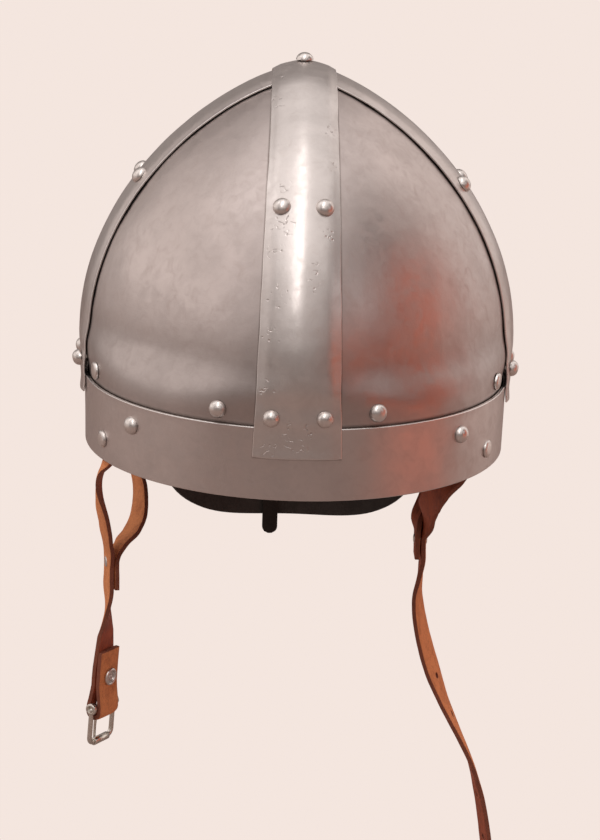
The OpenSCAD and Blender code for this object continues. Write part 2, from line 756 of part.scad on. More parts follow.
left_join_x = -87.4 * hang;
left_front_route = concat(
    tab_route(-1, -1, 0.5, -76),
    [[left_bend_x, -43.5 * hang, bend_z, -80]],
    hung([
        [-90.3, -36.5, -15.5, -86],
        [-89, -25, -32.3, -83],
        [-87.9, -14, -46.3, -86],
        [-87.5, -4.6, -56.3, -90]
    ]),
    [for (z = [-64, -72, -80] * hang) [left_join_x, 0, z, -90]],
    hung([[-87.8, 0, -92, -97], [-88.6, 0, -101, -110]])
);
left_rear_route = concat(
    tab_route(-1, 1, 0.5, -104),
    [[left_bend_x, 43 * hang, bend_z, -98]],
    hung([
        [-81, 35.5, -17, -80],
        [-75.4, 26.3, -28.9, -70],
        [-73.6, 19.8, -37, -69],
        [-74.2, 13.4, -45.2, -69],
        [-76.9, 7.8, -51, -73],
        [-81.4, 2.6, -56, -84]
    ]),
    [for (z = [-61.8, -70.2, -79] * hang) [left_join_x + leather_t + layer_gap + 0.1, 0, z, -90]]
);
right_join_x = 64.2 * hang;
right_front_route = concat(
    tab_route(1, -1, 0.5, 70),
    [[right_bend_x, -44.5 * hang, bend_z, 84]],
    hung([
        [75.6, -36.3, -12.4, 112],
        [71.1, -25.5, -20.9, 124],
        [68.3, -14, -30.6, 116],
        [66.3, -5.4, -37.9, 97]
    ]),
    [for (z = [-45, -52, -59] * hang) [right_join_x, 0, z, 90]],
    hung([
        [63.5, 0, -68, 85],
        [62.8, 0, -79.5, 78],
        [65.4, 0, -95, 72],
        [72, 0, -114.5, 70],
        [79.5, 0, -132, 73],
        [87.2, 0, -150, 84],
        [92.6, 0, -164, 96],
        [97.7, 0, -182, 105],
        [101.1, 0, -200, 108],
        [103.2, 0, -218, 108],
        [104.2, 0, -236, 108]
    ])
);
right_rear_route = concat(
    tab_route(1, 1, 0.5, 104),
    [[right_bend_x, 45.5 * hang, bend_z, 98]],
    hung([
        [77, 35, -13.5, 92],
        [70, 23.5, -23, 90],
        [65.2, 12.6, -32, 90],
        [62.2, 4, -39, 90]
    ]),
    [for (z = [-46, -53, -60] * hang) [right_join_x - leather_t - layer_gap - 0.1, 0, z, 90]]
);

// Frame of the buckle: its heel bar's middle, and its width, depth and up directions.
heel = [-89.6, 0.6, -138.5] * hang;
heel_w = [cos(buckle_turn), sin(buckle_turn), 0];
heel_v = [-sin(buckle_turn) * cos(buckle_swing), cos(buckle_turn) * cos(buckle_swing), sin(buckle_swing)];
heel_u = cross(heel_w, heel_v);
function from_heel(v, u) = heel + heel_v * v + heel_u * u;
module at_heel() {
    translate(heel) rotate([0, 0, buckle_turn]) rotate([buckle_swing, 0, 0]) children();
}
// The strip's fold round the heel bar, as [depth, up] points.
pair_v = (leather_t + layer_gap) / 2;
turn_v = wire_r + fold_slack + leather_t / 2;
fold_knee = mix(pair_v, turn_v, 0.6);
fold_line = concat(
    [[pair_v, fold_l - 8], [pair_v, loop_rivet_z + 5], [pair_v, loop_rivet_z - 4], [fold_knee, 5]],
    [for (a = [0:-22.5:-180]) [turn_v * cos(a), turn_v * sin(a) - fold_drop]],
    [[-fold_knee, 5], [-pair_v, loop_rivet_z - 4], [-pair_v, loop_rivet_z + 5], [-pair_v, fold_l]]
);
fold_turn = buckle_turn - 180;

module bend_core(x, r) {
    translate([x, 0, bend_z]) rotate([90, 0, 0]) cylinder(r = r, h = 160, center = true);
}
module below_bend(x) {
    translate([x - 100, -100, bend_z - 300]) cube([200, 200, 300]);
}
// The part of a strip that hangs: below the bend line, and the core round it.
module hanging(x) {
    intersection() {
        children();
        union() {
            below_bend(x);
            bend_core(x, bend_r);
        }
    }
}
module held(x) {
    difference() {
        children();
        below_bend(x);
        bend_core(x, bend_r + bend_gap);
        in_quadrants(at_angle(chin_angle, chin_rivet_z)) drill();
    }
}
head_steps = 3;
hole_count = 5;
first_hole = 35;
module along_x(p) {
    translate(p) rotate([0, 90, 0]) children();
}
module left_long_strip() {
    strip(
        concat(
            smooth(left_front_route, head_steps),
            [for (q = fold_line) let(p = from_heel(q[0], q[1])) [p.x, p.y, p.z, fold_turn]]
        ),
        leather_w,
        leather_t
    );
}
module left_strap_ends() {
    color(tan_leather) {
        held(left_bend_x) strip([for (i = [0:12]) smooth(left_front_route, head_steps)[i]], leather_w, leather_t);
        held(left_bend_x) strip([for (i = [0:12]) smooth(left_rear_route, head_steps)[i]], leather_w, leather_t);
    }
}
left_rivet_z = -64.5 * hang;
right_rivet_z = -49 * hang;
strap_hole_r = strap_shank_r + shank_gap;
module left_chin_strap() {
    color(tan_leather)
        difference() {
            hanging(left_bend_x) left_long_strip();
            along_x([left_join_x, 0, left_rivet_z]) cylinder(r = strap_hole_r, h = 20, center = true);
            at_heel() {
                translate([0, 0, loop_rivet_z])
                    rotate([90, 0, 0])
                        cylinder(r = strap_hole_r, h = 20, center = true);
                translate([-prong_r - prong_gap, -8, -8]) cube([2 * (prong_r + prong_gap), 16, 15.5]);
            }
        }
}
module left_strap_branch() {
    color(tan_leather)
        difference() {
            hanging(left_bend_x) strip(smooth(left_rear_route, head_steps), leather_w, leather_t);
            along_x([left_join_x, 0, left_rivet_z]) cylinder(r = strap_hole_r, h = 20, center = true);
        }
}
module right_strap_ends() {
    color(tan_leather) {
        held(right_bend_x) strip([for (i = [0:12]) smooth(right_front_route, head_steps)[i]], leather_w, leather_t);
        held(right_bend_x) strip([for (i = [0:12]) smooth(right_rear_route, head_steps)[i]], leather_w, leather_t);
    }
}
module right_chin_strap() {
    line = smooth(right_front_route, head_steps);
    color(tan_leather)
        difference() {
            hanging(right_bend_x) strip(line, leather_w, leather_t, true);
            along_x([right_join_x, 0, right_rivet_z]) cylinder(r = strap_hole_r, h = 20, center = true);
            for (i = [0:hole_count - 1]) strip_drill(line, first_hole + i * hole_step, hole_r);
        }
}
module right_strap_branch() {
    color(tan_leather)
        difference() {
            hanging(right_bend_x) strip(smooth(right_rear_route, head_steps), leather_w, leather_t);
            along_x([right_join_x, 0, right_rivet_z]) cylinder(r = strap_hole_r, h = 20, center = true);
        }
}
// The rivets that join the branches, with their heads on the outer side.
pair_t = 2 * leather_t + layer_gap + 0.1;
module left_joint_rivet() {
    color(rivet_steel)
        translate([left_join_x - leather_t / 2, 0, left_rivet_z])
            rotate([0, -90, 0])
                rivet(-pair_t - 0.1, 0.1, strap_head_r, 1.8, strap_shank_r);
}
module right_joint_rivet() {
    color(rivet_steel)
        translate([right_join_x + leather_t / 2, 0, right_rivet_z])
            rotate([0, 90, 0])
                rivet(-pair_t - 0.1, 0.1, strap_head_r, 1.8, strap_shank_r);
}
// The rivet through the folded end, with a raised ring round a hollow head.
ring_r = 4.2;
module loop_rivet() {
    color(rivet_steel)
        at_heel()
            translate([0, -pair_t / 2 - 0.1, loop_rivet_z])
                rotate([90, 0, 0]) {
                    rotate_extrude()
                        difference() {
                            union() {
                                square([ring_r - 0.8, 0.9]);
                                translate([ring_r - 0.8, 0.8]) circle(0.8);
                            }
                            translate([1.6, 0.5]) square([1.2, 3]);
                        }
                    cap(1.4, 1.5);
                    translate([0, 0, -pair_t - 0.2]) cylinder(r = strap_shank_r, h = pair_t + 0.3);
                    translate([0, 0, -pair_t - 0.2]) mirror([0, 0, 1]) cap(peen_r, 1.1);
                }
}

// Buckle, in the heel bar's frame: X along the bar, Z up the strap.
bar_x = buckle_w / 2 - wire_r;
module bar(a, b, r, r_end = 0) {
    d = b - a;
    translate(a)
        rotate([0, acos(d.z / norm(d)), atan2(d.y, d.x)])
            cylinder(r1 = r, r2 = r_end > 0 ? r_end : r, h = norm(d));
}
module buckle_frame() {
    color(buckle_metal)
        at_heel() {
            bar([-bar_x, 0, 0], [bar_x, 0, 0], wire_r);
            for (s = [-1, 1]) {
                translate([s * bar_x, 0, 0]) rotate([0, 90, 0]) cylinder(r = collar_r, h = 2 * wire_r, center = true);
                bar([s * bar_x, 0, 0], [s * bar_x, 0, -buckle_l + corner_r], wire_r);
                translate([s * (bar_x - corner_r), 0, -buckle_l + corner_r])
                    rotate([90, 0, 0])
                        rotate_extrude(angle = 90, start = s < 0 ? 180 : 270)
                            translate([corner_r, 0])
                                circle(wire_r);
            }
            bar([-bar_x + corner_r, 0, -buckle_l], [bar_x - corner_r, 0, -buckle_l], wire_r);
        }
}
roller_half = bar_x - corner_r - 0.3;
module buckle_roller() {
    color(buckle_metal)
        at_heel()
            translate([-roller_half, 0, -buckle_l])
                rotate([0, 90, 0])
                    difference() {
                        cylinder(r = roller_r, h = 2 * roller_half);
                        translate([0, 0, -1]) cylinder(r = wire_r + roller_gap, h = 2 * roller_half + 2);
                    }
}
eye_r = wire_r + roller_gap + prong_r;
prong_rest = roller_r + prong_r + 0.1;
module buckle_prong() {
    tip = [0, prong_rest + 0.25, -buckle_l - 2.6];
    color(buckle_metal)
        at_heel() {
            rotate([0, 90, 0])
                difference() {
                    cylinder(r = eye_r + prong_r, h = 2 * prong_r, center = true);
                    cylinder(r = eye_r - prong_r, h = 2 * prong_r + 2, center = true);
                }
            bar([0, eye_r, 0], tip, prong_r, 0.6 * prong_r);
        }
}

panel_front_left();
panel_front_right();
panel_rear_left();
panel_rear_right();
brow_band();
side_strap();
crown_strap();
peak_rivet();
crown_strap_rivets();
side_strap_rivets();
liner_rivets();
band_rivets();
chin_strap_rivets();
liner_washers();
chin_strap_washers();
liner();
liner_lace();
nape_flap();
nape_thong();
left_strap_ends();
left_chin_strap();
left_strap_branch();
left_joint_rivet();
loop_rivet();
buckle_frame();
buckle_roller();
buckle_prong();
right_strap_ends();
right_chin_strap();
right_strap_branch();
right_joint_rivet();
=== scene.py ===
"""Riveted viking helmet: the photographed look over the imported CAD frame.

Lengths in the classes are millimetres in the helmet's frame: the front is -Y,
up is +Z, and z = 0 is the brow band's lower edge. Meshes are made in metres.
"""
import logging
import math
from dataclasses import dataclass, field
from enum import Enum
from typing import Callable, Optional, Sequence, Union

import bmesh
import bpy
from mathutils import Matrix, Vector, noise
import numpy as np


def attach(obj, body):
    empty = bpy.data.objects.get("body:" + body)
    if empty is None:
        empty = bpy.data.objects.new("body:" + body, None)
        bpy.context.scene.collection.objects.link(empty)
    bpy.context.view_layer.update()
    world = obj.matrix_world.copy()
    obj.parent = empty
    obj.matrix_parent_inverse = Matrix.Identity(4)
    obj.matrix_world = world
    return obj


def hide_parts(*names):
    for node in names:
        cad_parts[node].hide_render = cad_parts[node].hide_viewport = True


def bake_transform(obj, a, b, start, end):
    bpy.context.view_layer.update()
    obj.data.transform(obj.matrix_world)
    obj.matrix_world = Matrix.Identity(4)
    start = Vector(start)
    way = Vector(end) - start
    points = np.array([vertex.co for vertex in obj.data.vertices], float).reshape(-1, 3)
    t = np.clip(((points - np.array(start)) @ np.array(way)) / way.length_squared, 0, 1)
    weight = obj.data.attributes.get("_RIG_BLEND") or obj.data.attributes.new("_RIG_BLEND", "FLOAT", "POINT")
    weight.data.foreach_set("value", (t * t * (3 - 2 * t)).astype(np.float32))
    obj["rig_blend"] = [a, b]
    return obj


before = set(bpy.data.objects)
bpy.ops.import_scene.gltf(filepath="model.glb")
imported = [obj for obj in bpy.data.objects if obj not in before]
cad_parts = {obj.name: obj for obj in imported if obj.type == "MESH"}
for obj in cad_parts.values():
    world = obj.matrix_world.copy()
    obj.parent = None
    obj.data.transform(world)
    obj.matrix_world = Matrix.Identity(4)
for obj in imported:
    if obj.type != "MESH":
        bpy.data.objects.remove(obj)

MM = 0.001
log = logging.getLogger("helmet")
Grid = Callable[[float, float], Vector]
BMesh = bmesh.types.BMesh
BMVert = bmesh.types.BMVert
Socket = bpy.types.NodeSocket
Material = bpy.types.Material
Colour = tuple[float, float, float]
Value = Union[Socket, float, Colour]


class Side(Enum):
    """A side of the helmet as the photo shows it: left is -X."""

    LEFT = -1
    RIGHT = 1


class End(Enum):
    """An end of the helmet: the front is -Y."""

    FRONT = -1
    REAR = 1


class Run(Enum):
    """The direction that a dome strap runs in."""

    FRONT_TO_BACK = 0
    EAR_TO_EAR = 1


class Face(Enum):
    """The surfaces of a leather strap, as material slots."""

    FLESH = 0
    GRAIN = 1
    EDGE = 2


# Small sums that the shapes share


def limit(v: float) -> float:
    """v held between 0 and 1."""
    return min(1.0, max(0.0, v))


def ease(v: float) -> float:
    """A smooth step from 0 to 1."""
    c = limit(v)
    return c * c * (3 - 2 * c)


def mix(a: float, b: float, t: float) -> float:
    """The value between a and b at share t."""
    return a + (b - a) * t


def curve(a: float, b: float, c: float, d: float, t: float) -> float:
    """Value at share t between b and c of a smooth curve through a, b, c and d."""
    return (2 * b + (c - a) * t + (2 * a - 5 * b + 4 * c - d) * t * t + (3 * b - a - 3 * c + d) * t**3) / 2


def degrees(v: float) -> tuple[float, float]:
    """Cosine and sine of an angle in degrees."""
    return math.cos(math.radians(v)), math.sin(math.radians(v))


def wave(p: Vector, size: float, seed: float) -> float:
    """Smooth noise between about -1 and 1.

    Args:
        p: A point in millimetres.
        size: Length of one wave in millimetres.
        seed: Shift that gives each piece its own pattern.

    Returns:
        The noise at the point.
    """
    return noise.noise(p / size + Vector((seed, 2.3 * seed, -seed)))


def edge_stops(count: int, length: float, edge: float) -> list[float]:
    """Shares from 0 to 1, evenly spaced, with one extra stop close to each end.

    Args:
        count: Number of even steps.
        length: Real length of the run in millimetres.
        edge: Distance of the extra stops from the ends in millimetres.

    Returns:
        The sorted shares, count + 3 of them.
    """
    e = edge / length
    return [0.0, *[mix(e, 1 - e, i / count) for i in range(count + 1)], 1.0]


# Form of the dome


@dataclass(frozen=True)
class DomeForm:
    """The face that every plate is an offset of: the panels' outer surface."""

    rim_w: float = 198.5
    rim_l: float = 228.0
    band_h: float = 33.0
    band_t: float = 1.6
    band_flare: float = 0.7
    lap_gap: float = 0.3
    dome_w: float = 202.4
    belly_z: float = 51.0
    peak_z: float = 177.0
    peak_power: float = 1.46
    shoulder_power: float = 1.97
    ridge_power: float = 1.55
    ridge_rise: float = 27.0
    upright_under: float = 2.0
    seat_reach: tuple[float, float] = (-18.0, 0.5)
    halvings: int = 22

    @property
    def wall_half(self) -> float:
        """Half width of the panels' face at the rim."""
        return self.rim_w / 2 - self.band_t - self.lap_gap

    @property
    def plan_k(self) -> float:
        """Length of the plan over its width."""
        return (self.rim_l / 2 - self.band_t - self.lap_gap) / self.wall_half

    @property
    def belly_half(self) -> float:
        """Half width at the widest ring."""
        return self.dome_w / 2

    @property
    def rise(self) -> float:
        """Height of the peak over the widest ring."""
        return self.peak_z - self.belly_z

    def half(self, z: float) -> float:
        """Half width of the face at a height.

        Args:
            z: The height in millimetres.

        Returns:
            The half width in millimetres, 0 at the peak.
        """
        if z >= self.peak_z:
            return 0.0
        if z >= self.belly_z:
            high = ((z - self.belly_z) / self.rise) ** self.shoulder_power
            return self.belly_half * (1 - high) ** (1 / self.peak_power)
        low = self.wall_half + self.band_flare * limit(z / self.band_h)
        fall = limit((self.belly_z - z) / (self.belly_z - self.band_h + self.upright_under))
        return mix(self.belly_half, low, (1 - math.cos(math.pi * fall)) / 2)

    def crest(self, r: float) -> float:
        """Height of the face at a half width, above the widest ring."""
        inside = max(0.0, 1 - (r / self.belly_half) ** self.peak_power)
        return self.belly_z + self.rise * inside ** (1 / self.shoulder_power)

    def plan_power(self, z: float) -> float:
        """Power of the plan at a height: 2 is an oval, less is four sided."""
        return mix(2.0, self.ridge_power, ease((z - self.band_h) / self.ridge_rise))

    def level(self, p: Vector) -> float:
        """Tells on which side of the face a point is.

        Args:
            p: A point in millimetres.

        Returns:
            A value below 0 inside the face and above 0 outside it.
        """
        m = self.plan_power(p.z)
        r = (abs(p.x) ** m + abs(p.y / self.plan_k) ** m) ** (1 / m)
        if p.z > self.belly_z:
            high = ((p.z - self.belly_z) / self.rise) ** self.shoulder_power
            return (r / self.belly_half) ** self.peak_power + high - 1
        return (r / self.half(p.z)) ** self.peak_power - 1

    def normal(self, p: Vector) -> Vector:
        """Outward unit normal of the face at a point.

        Args:
            p: A point on or near the face.

        Returns:
            The normal, which is straight up at the peak.
        """
        e = 0.02
        steps = (Vector((e, 0, 0)), Vector((0, e, 0)), Vector((0, 0, e)))
        n = Vector([self.level(p + s) - self.level(p - s) for s in steps])
        return n.normalized() if n.length > 1e-9 else Vector((0, 0, 1))

    def lifted(self, p: Vector, d: float) -> Vector:
        """p moved outward by d."""
        return p + self.normal(p) * d

    def at_angle(self, a: float, z: float) -> Vector:
        """Point of the face at a plan angle and a height.

        Args:
            a: Plan angle in degrees, from the right side to the rear.
            z: The height in millimetres.

        Returns:
            The point.
        """
        c, s = degrees(a)
        m = self.plan_power(z)
        r = self.half(z) * (abs(c) ** m + abs(s) ** m) ** (-1 / m)
        return Vector((r * c, self.plan_k * r * s, z))

    def y_at(self, x: float, z: float) -> float:
        """Depth of the face at an x and a height."""
        m = self.plan_power(z)
        return self.plan_k * max(0.0, self.half(z) ** m - abs(x) ** m) ** (1 / m)

    def x_at(self, y: float, z: float) -> float:
        """Width of the face at a y and a height."""
        m = self.plan_power(z)
        return max(0.0, self.half(z) ** m - abs(y / self.plan_k) ** m) ** (1 / m)

    def rear_point(self, x: float, z: float) -> Vector:
        """Point of the rear face at an x and a height."""
        return Vector((x, self.y_at(x, z), z))

    def side_point(self, y: float, z: float) -> Vector:
        """Point of the right face at a y and a height."""
        return Vector((self.x_at(y, z), y, z))

    def seat(self, p: Vector, n: Vector) -> Vector:
        """The point of the face on a line, found by halving.

        Args:
            p: A point of the line, close outside the face.
            n: Direction of the line, outward.

        Returns:
            The point of the face.
        """
        low, high = self.seat_reach
        for _ in range(self.halvings):
            middle = (low + high) / 2
            if self.level(p + n * middle) > 0:
                high = middle
            else:
                low = middle
        return p + n * (low + high) / 2


DOME = DomeForm()


@dataclass(frozen=True)
class StrapForm:
    """A strap over the dome, whose line runs from the peak to both ends."""

    run: Run
    widths: tuple[float, float]
    end_z: float
    spring: float
    seed: float
    shade: float
    step_z: tuple[float, float] = (DOME.band_h + 0.9, DOME.band_h + 0.45)
    top_edge: float = 25.5
    rim_edge: float = 0.5
    steps: tuple[int, int, int, int] = (22, 44, 14, 10)

    @property
    def across(self) -> Vector:
        """Direction of its width."""
        return Vector((0, 1, 0)) if self.run is Run.EAR_TO_EAR else Vector((-1, 0, 0))

    def middle(self, r: float, z: float) -> Vector:
        """Point of its middle line at a signed half width and a height."""
        return Vector((r, 0, z)) if self.run is Run.EAR_TO_EAR else Vector((0, r * DOME.plan_k, z))

    def stations(self) -> list[tuple[float, float]]:
        """Half of the strap's line.

        Returns:
            (half width, height) from the peak to its end.
        """
        top, dome, wall, band = self.steps
        edge = self.top_edge / DOME.plan_k
        start = math.acos((edge / DOME.belly_half) ** (DOME.peak_power / 2))
        stops = [(edge * i / top, DOME.crest(edge * i / top)) for i in range(top)]
        for i in range(dome):
            c, s = math.cos(start * (1 - i / dome)), math.sin(start * (1 - i / dome))
            z = DOME.belly_z + DOME.rise * s ** (2 / DOME.shoulder_power)
            stops.append((DOME.belly_half * c ** (2 / DOME.peak_power), z))
        lows = [mix(DOME.belly_z, self.step_z[0], i / wall) for i in range(wall + 1)]
        lows += [self.step_z[1], DOME.band_h]
        lows += [mix(DOME.band_h, self.end_z + self.rim_edge, i / band) for i in range(1, band + 1)]
        return stops + [(DOME.half(z), z) for z in [*lows, self.end_z]]

    def half_widths(self) -> list[float]:
        """Half of the strap's width along its line.

        Returns:
            The half width at each station.
        """
        line = self.stations()
        lengths = [0.0]
        for (r0, z0), (r1, z1) in zip(line, line[1:]):
            lengths.append(lengths[-1] + math.hypot(r1 - r0, z1 - z0))
        return [mix(*self.widths, run / lengths[-1]) / 2 for run in lengths]


CROWN = StrapForm(Run.FRONT_TO_BACK, (27.4, 38.0), 19.5, spring=0.25, seed=17.0, shade=0.75)
SIDE = StrapForm(Run.EAR_TO_EAR, (32.0, 43.0), 25.0, spring=0.45, seed=11.0, shade=0.5)


# Finishes


@dataclass(frozen=True)
class Steel:
    """Satin steel that was hammered, ground and handled. Sizes and depths are millimetres.

    Args:
        name: Name of the material.
        colour: Reflected colour, linear.
        rough: Roughness of the clean metal.
        mottle: Strength of the cloudy tone changes.
        dents: Depth of the shallow hammer marks.
        pits: Depth of the small pits.
        warm: Share of the brown film in the mottled places.
        band_line: Whether the brow band lies on it, which adds painted contact shade above the band and
            painted shade with some grime on the panel's lower part.
        cloud_size: Size of the cloudy tone changes.
        film_size: Size of the brown film's patches.
        fine_size: Size of the finest unevenness.
        dent_sizes: Sizes of the wide and the narrow hammer marks.
        pit_gap: Distance between places where a pit may be.
        shade_and_grime_z: Heights over the band's edge where the painted shade with some grime, darker
            towards the band, starts to fade and ends.
        worn: Colour of the rims: a painted edge highlight, partly edges worn bright.
        dirt: Colour of the dirt in struck places.
        seam: Colour of the painted contact shade, with some grime, beside what lies on it.
    """

    name: str
    colour: Colour
    rough: float = 0.36
    mottle: float = 0.5
    dents: float = 0.12
    pits: float = 0.05
    warm: float = 0.25
    band_line: bool = False
    cloud_size: float = 24.0
    film_size: float = 6.0
    fine_size: float = 1.4
    dent_sizes: tuple[float, float] = (11.0, 4.0)
    pit_gap: float = 5.5
    shade_and_grime_z: tuple[float, float] = (20.0, 44.0)
    worn: Colour = (0.95, 0.91, 0.89)
    dirt: Colour = (0.2, 0.16, 0.14)
    seam: Colour = (0.1, 0.075, 0.062)

    @property
    def brown(self) -> Colour:
        """Colour of the brown film."""
        return (self.colour[0] * 0.86, self.colour[1] * 0.76, self.colour[2] * 0.7)

    def darker(self, share: float) -> Colour:
        """The metal's colour at a share of its brightness."""
        return tuple(c * share for c in self.colour)


@dataclass(frozen=True)
class Mark:
    """A struck place on a plate: its middle and reach in millimetres, and how far it fades."""

    at: tuple[float, float, float]
    r: float
    fade: float = 1.35


@dataclass(frozen=True)
class Leather:
    """One surface of a piece of leather.

    Args:
        name: Name of the material.
        colour: Main colour, linear.
        dark: Colour of the worn or creased places, linear.
        rough: Roughness.
        grain: Size of the surface grain in millimetres.
        depth: Depth of the grain in millimetres.
        fuzz: Strength of the raised fibres' sheen.
        cloud_size: Size of the tone changes in millimetres.
        edge_reach: Width of the dark line along a cut edge in millimetres.
    """

    name: str
    colour: Colour
    dark: Colour
    rough: float = 0.75
    grain: float = 0.6
    depth: float = 0.12
    fuzz: float = 0.0
    cloud_size: float = 9.0
    edge_reach: float = 1.2

    @property
    def light(self) -> Colour:
        """Colour of the raised grain."""
        return tuple(min(1.0, c * 1.5) for c in self.colour)


class Shader:
    """Builds one node material from small steps."""

    ramp_stops = 24
    half_span = 0.04
    tall = 0.2

    def __init__(self, name: str) -> None:
        """Starts a material with an output and a principled surface.

        Args:
            name: Name of the material.
        """
        self.material = bpy.data.materials.new(name)
        self.material.use_nodes = True
        self.tree = self.material.node_tree
        self.tree.nodes.clear()
        self.out = self.tree.nodes.new("ShaderNodeOutputMaterial")
        self.surface = self.tree.nodes.new("ShaderNodeBsdfPrincipled")
        self.link(self.surface.outputs[0], self.out.inputs[0])
        self.coords = self.tree.nodes.new("ShaderNodeTexCoord").outputs["Object"]

    def node(self, kind: str, vector: Optional[Socket] = None, **values: Value) -> bpy.types.Node:
        """Adds a node.

        Args:
            kind: The node's kind, without "ShaderNode".
            vector: What its Vector input reads, if anything.
            values: Values of its inputs, by name.

        Returns:
            The node.
        """
        node = self.tree.nodes.new("ShaderNode" + kind)
        if vector is not None:
            self.link(vector, node.inputs["Vector"])
        for name, value in values.items():
            self.put(node.inputs[name], value)
        return node

    def link(self, a: Socket, b: Socket) -> None:
        """Joins an output to an input."""
        self.tree.links.new(a, b)

    def put(self, socket: Socket, value: Value) -> None:
        """Sets an input to a value or joins it to an output.

        Args:
            socket: The input.
            value: A number, a colour or an output.
        """
        if isinstance(value, Socket):
            self.link(value, socket)
        elif isinstance(value, tuple) and len(value) == 3 and socket.type == "RGBA":
            socket.default_value = (*value, 1.0)
        else:
            socket.default_value = value

    def stretched(self, scale: tuple[float, float, float], shift: float = 0.0) -> Socket:
        """Object coordinates times a scale for each axis.

        Args:
            scale: The scales.
            shift: How far the pattern is moved.

        Returns:
            The coordinates.
        """
        return self.node("Mapping", self.coords, Scale=scale, Location=(shift, -shift, 2 * shift)).outputs[0]

    def noise(
        self, size: float, detail: float = 3.0, rough: float = 0.5, vector: Optional[Socket] = None,
        warp: float = 0.0,
    ) -> Socket:
        """Noise from 0 to 1.

        Args:
            size: Size of its waves in millimetres, where it reads no vector.
            detail: Number of finer layers.
            rough: Strength of the finer layers.
            vector: Coordinates in its own units, or none for the object's.
            warp: How far it is bent by itself.

        Returns:
            The noise.
        """
        scale = 1 / (size * MM) if vector is None else 1.0
        values = {"Scale": scale, "Detail": detail, "Roughness": rough, "Distortion": warp}
        return self.node("TexNoise", vector or self.coords, **values).outputs[0]

    def cells(self, size: float, smooth: bool = False) -> Socket:
        """Distance to the nearest of random points.

        Args:
            size: Distance between the points in millimetres.
            smooth: Whether the cells run into each other.

        Returns:
            The distance, as a share of the size.
        """
        node = self.node("TexVoronoi", self.coords, Scale=1 / (size * MM))
        node.feature = "SMOOTH_F1" if smooth else "F1"
        return node.outputs["Distance"]

    def ramp(
        self, value: Socket, low: float, high: float, to_low: float = 0.0, to_high: float = 1.0
    ) -> Socket:
        """A value taken from one range to another, smoothly and clamped.

        Args:
            value: The value.
            low: Start of its range.
            high: End of its range.
            to_low: Result at the start.
            to_high: Result at the end.

        Returns:
            The result.
        """
        ends = {"From Min": low, "From Max": high, "To Min": to_low, "To Max": to_high}
        node = self.node("MapRange", Value=value, **ends)
        node.interpolation_type = "SMOOTHSTEP"
        return node.outputs[0]

    def sum(self, kind: str, a: Value, b: Value) -> Socket:
        """Takes one step of arithmetic.

        Args:
            kind: The step, such as ADD.
            a: First value.
            b: Second value.

        Returns:
            The result.
        """
        node = self.node("Math")
        node.operation = kind
        self.put(node.inputs[0], a)
        self.put(node.inputs[1], b)
        return node.outputs[0]

    def times(self, a: Value, b: Value) -> Socket:
        """a times b."""
        return self.sum("MULTIPLY", a, b)

    def largest(self, values: Sequence[Socket]) -> Socket:
        """The largest of some values.

        Args:
            values: One value or more.

        Returns:
            The largest.
        """
        result = values[0]
        for value in values[1:]:
            result = self.sum("MAXIMUM", result, value)
        return result

    def mixed(self, a: Socket, b: Socket, share: float) -> Socket:
        """A share of a and the rest of b."""
        return self.sum("ADD", self.times(a, share), self.times(b, round(1 - share, 6)))

    def blend(self, share: Value, a: Value, b: Value) -> Socket:
        """Changes a colour to another.

        Args:
            share: Share of the second colour.
            a: First colour.
            b: Second colour.

        Returns:
            The colour.
        """
        node = self.tree.nodes.new("ShaderNodeMix")
        node.data_type = "RGBA"
        self.put(node.inputs["Factor"], share)
        self.put(node.inputs[6], a)
        self.put(node.inputs[7], b)
        return node.outputs[2]

    def attribute(self, name: str) -> Socket:
        """Reads a vertex attribute of the mesh.

        Args:
            name: The attribute's name.

        Returns:
            Its value.
        """
        node = self.node("Attribute")
        node.attribute_name = name
        return node.outputs["Fac"]

    def bump(
        self, height: Socket, depth: float, strength: float = 1.0, before: Optional[Socket] = None
    ) -> Socket:
        """Bends the normal by a height.

        Args:
            height: The height, from 0 to 1.
            depth: What 1 stands for, in millimetres.
            strength: Strength of the bend.
            before: A normal that was bent before.

        Returns:
            The normal.
        """
        node = self.node("Bump", Strength=strength, Distance=depth * MM, Height=height)
        if before is not None:
            self.link(before, node.inputs["Normal"])
        return node.outputs[0]

    def axis(self, name: str) -> Socket:
        """One of the object's coordinates, in metres."""
        return self.node("SeparateXYZ", self.coords).outputs[name]

    def half_width(self, form: StrapForm, height: Socket) -> Socket:
        """Half of a strap's width at a height.

        Args:
            form: The strap.
            height: The height in metres.

        Returns:
            The half width in metres.
        """
        curve = self.node("ValToRGB")
        curve.color_ramp.interpolation = "LINEAR"
        stops = sorted(zip([z for _, z in form.stations()], form.half_widths()))
        last = self.ramp_stops - 1
        picks = [stops[round(i * (len(stops) - 1) / last)] for i in range(self.ramp_stops)]
        for i, (z, half) in enumerate(picks):
            place = z * MM / self.tall
            element = curve.color_ramp.elements[i] if i < 2 else curve.color_ramp.elements.new(place)
            element.position = place
            level = half * MM / self.half_span
            element.color = (level, level, level, 1)
        self.link(self.sum("DIVIDE", height, self.tall), curve.inputs[0])
        return self.times(curve.outputs[0], self.half_span)

    def beside(self, form: StrapForm, reach: float) -> Socket:
        """Painted contact shade, with some grime, next to a strap's edges.

        Args:
            form: The strap.
            reach: Distance in millimetres where it is gone.

        Returns:
            The strap's strength of painted shade at its edge, and 0 at the reach.
        """
        height = self.axis("Z")
        across = self.sum("ABSOLUTE", self.axis("X" if form.run is Run.FRONT_TO_BACK else "Y"), 0.0)
        aside = self.sum("SUBTRACT", across, self.half_width(form, height))
        below = self.sum("SUBTRACT", form.end_z * MM, height)
        return self.ramp(self.sum("MAXIMUM", aside, below), 0.0, reach * MM, form.shade, 0.0)

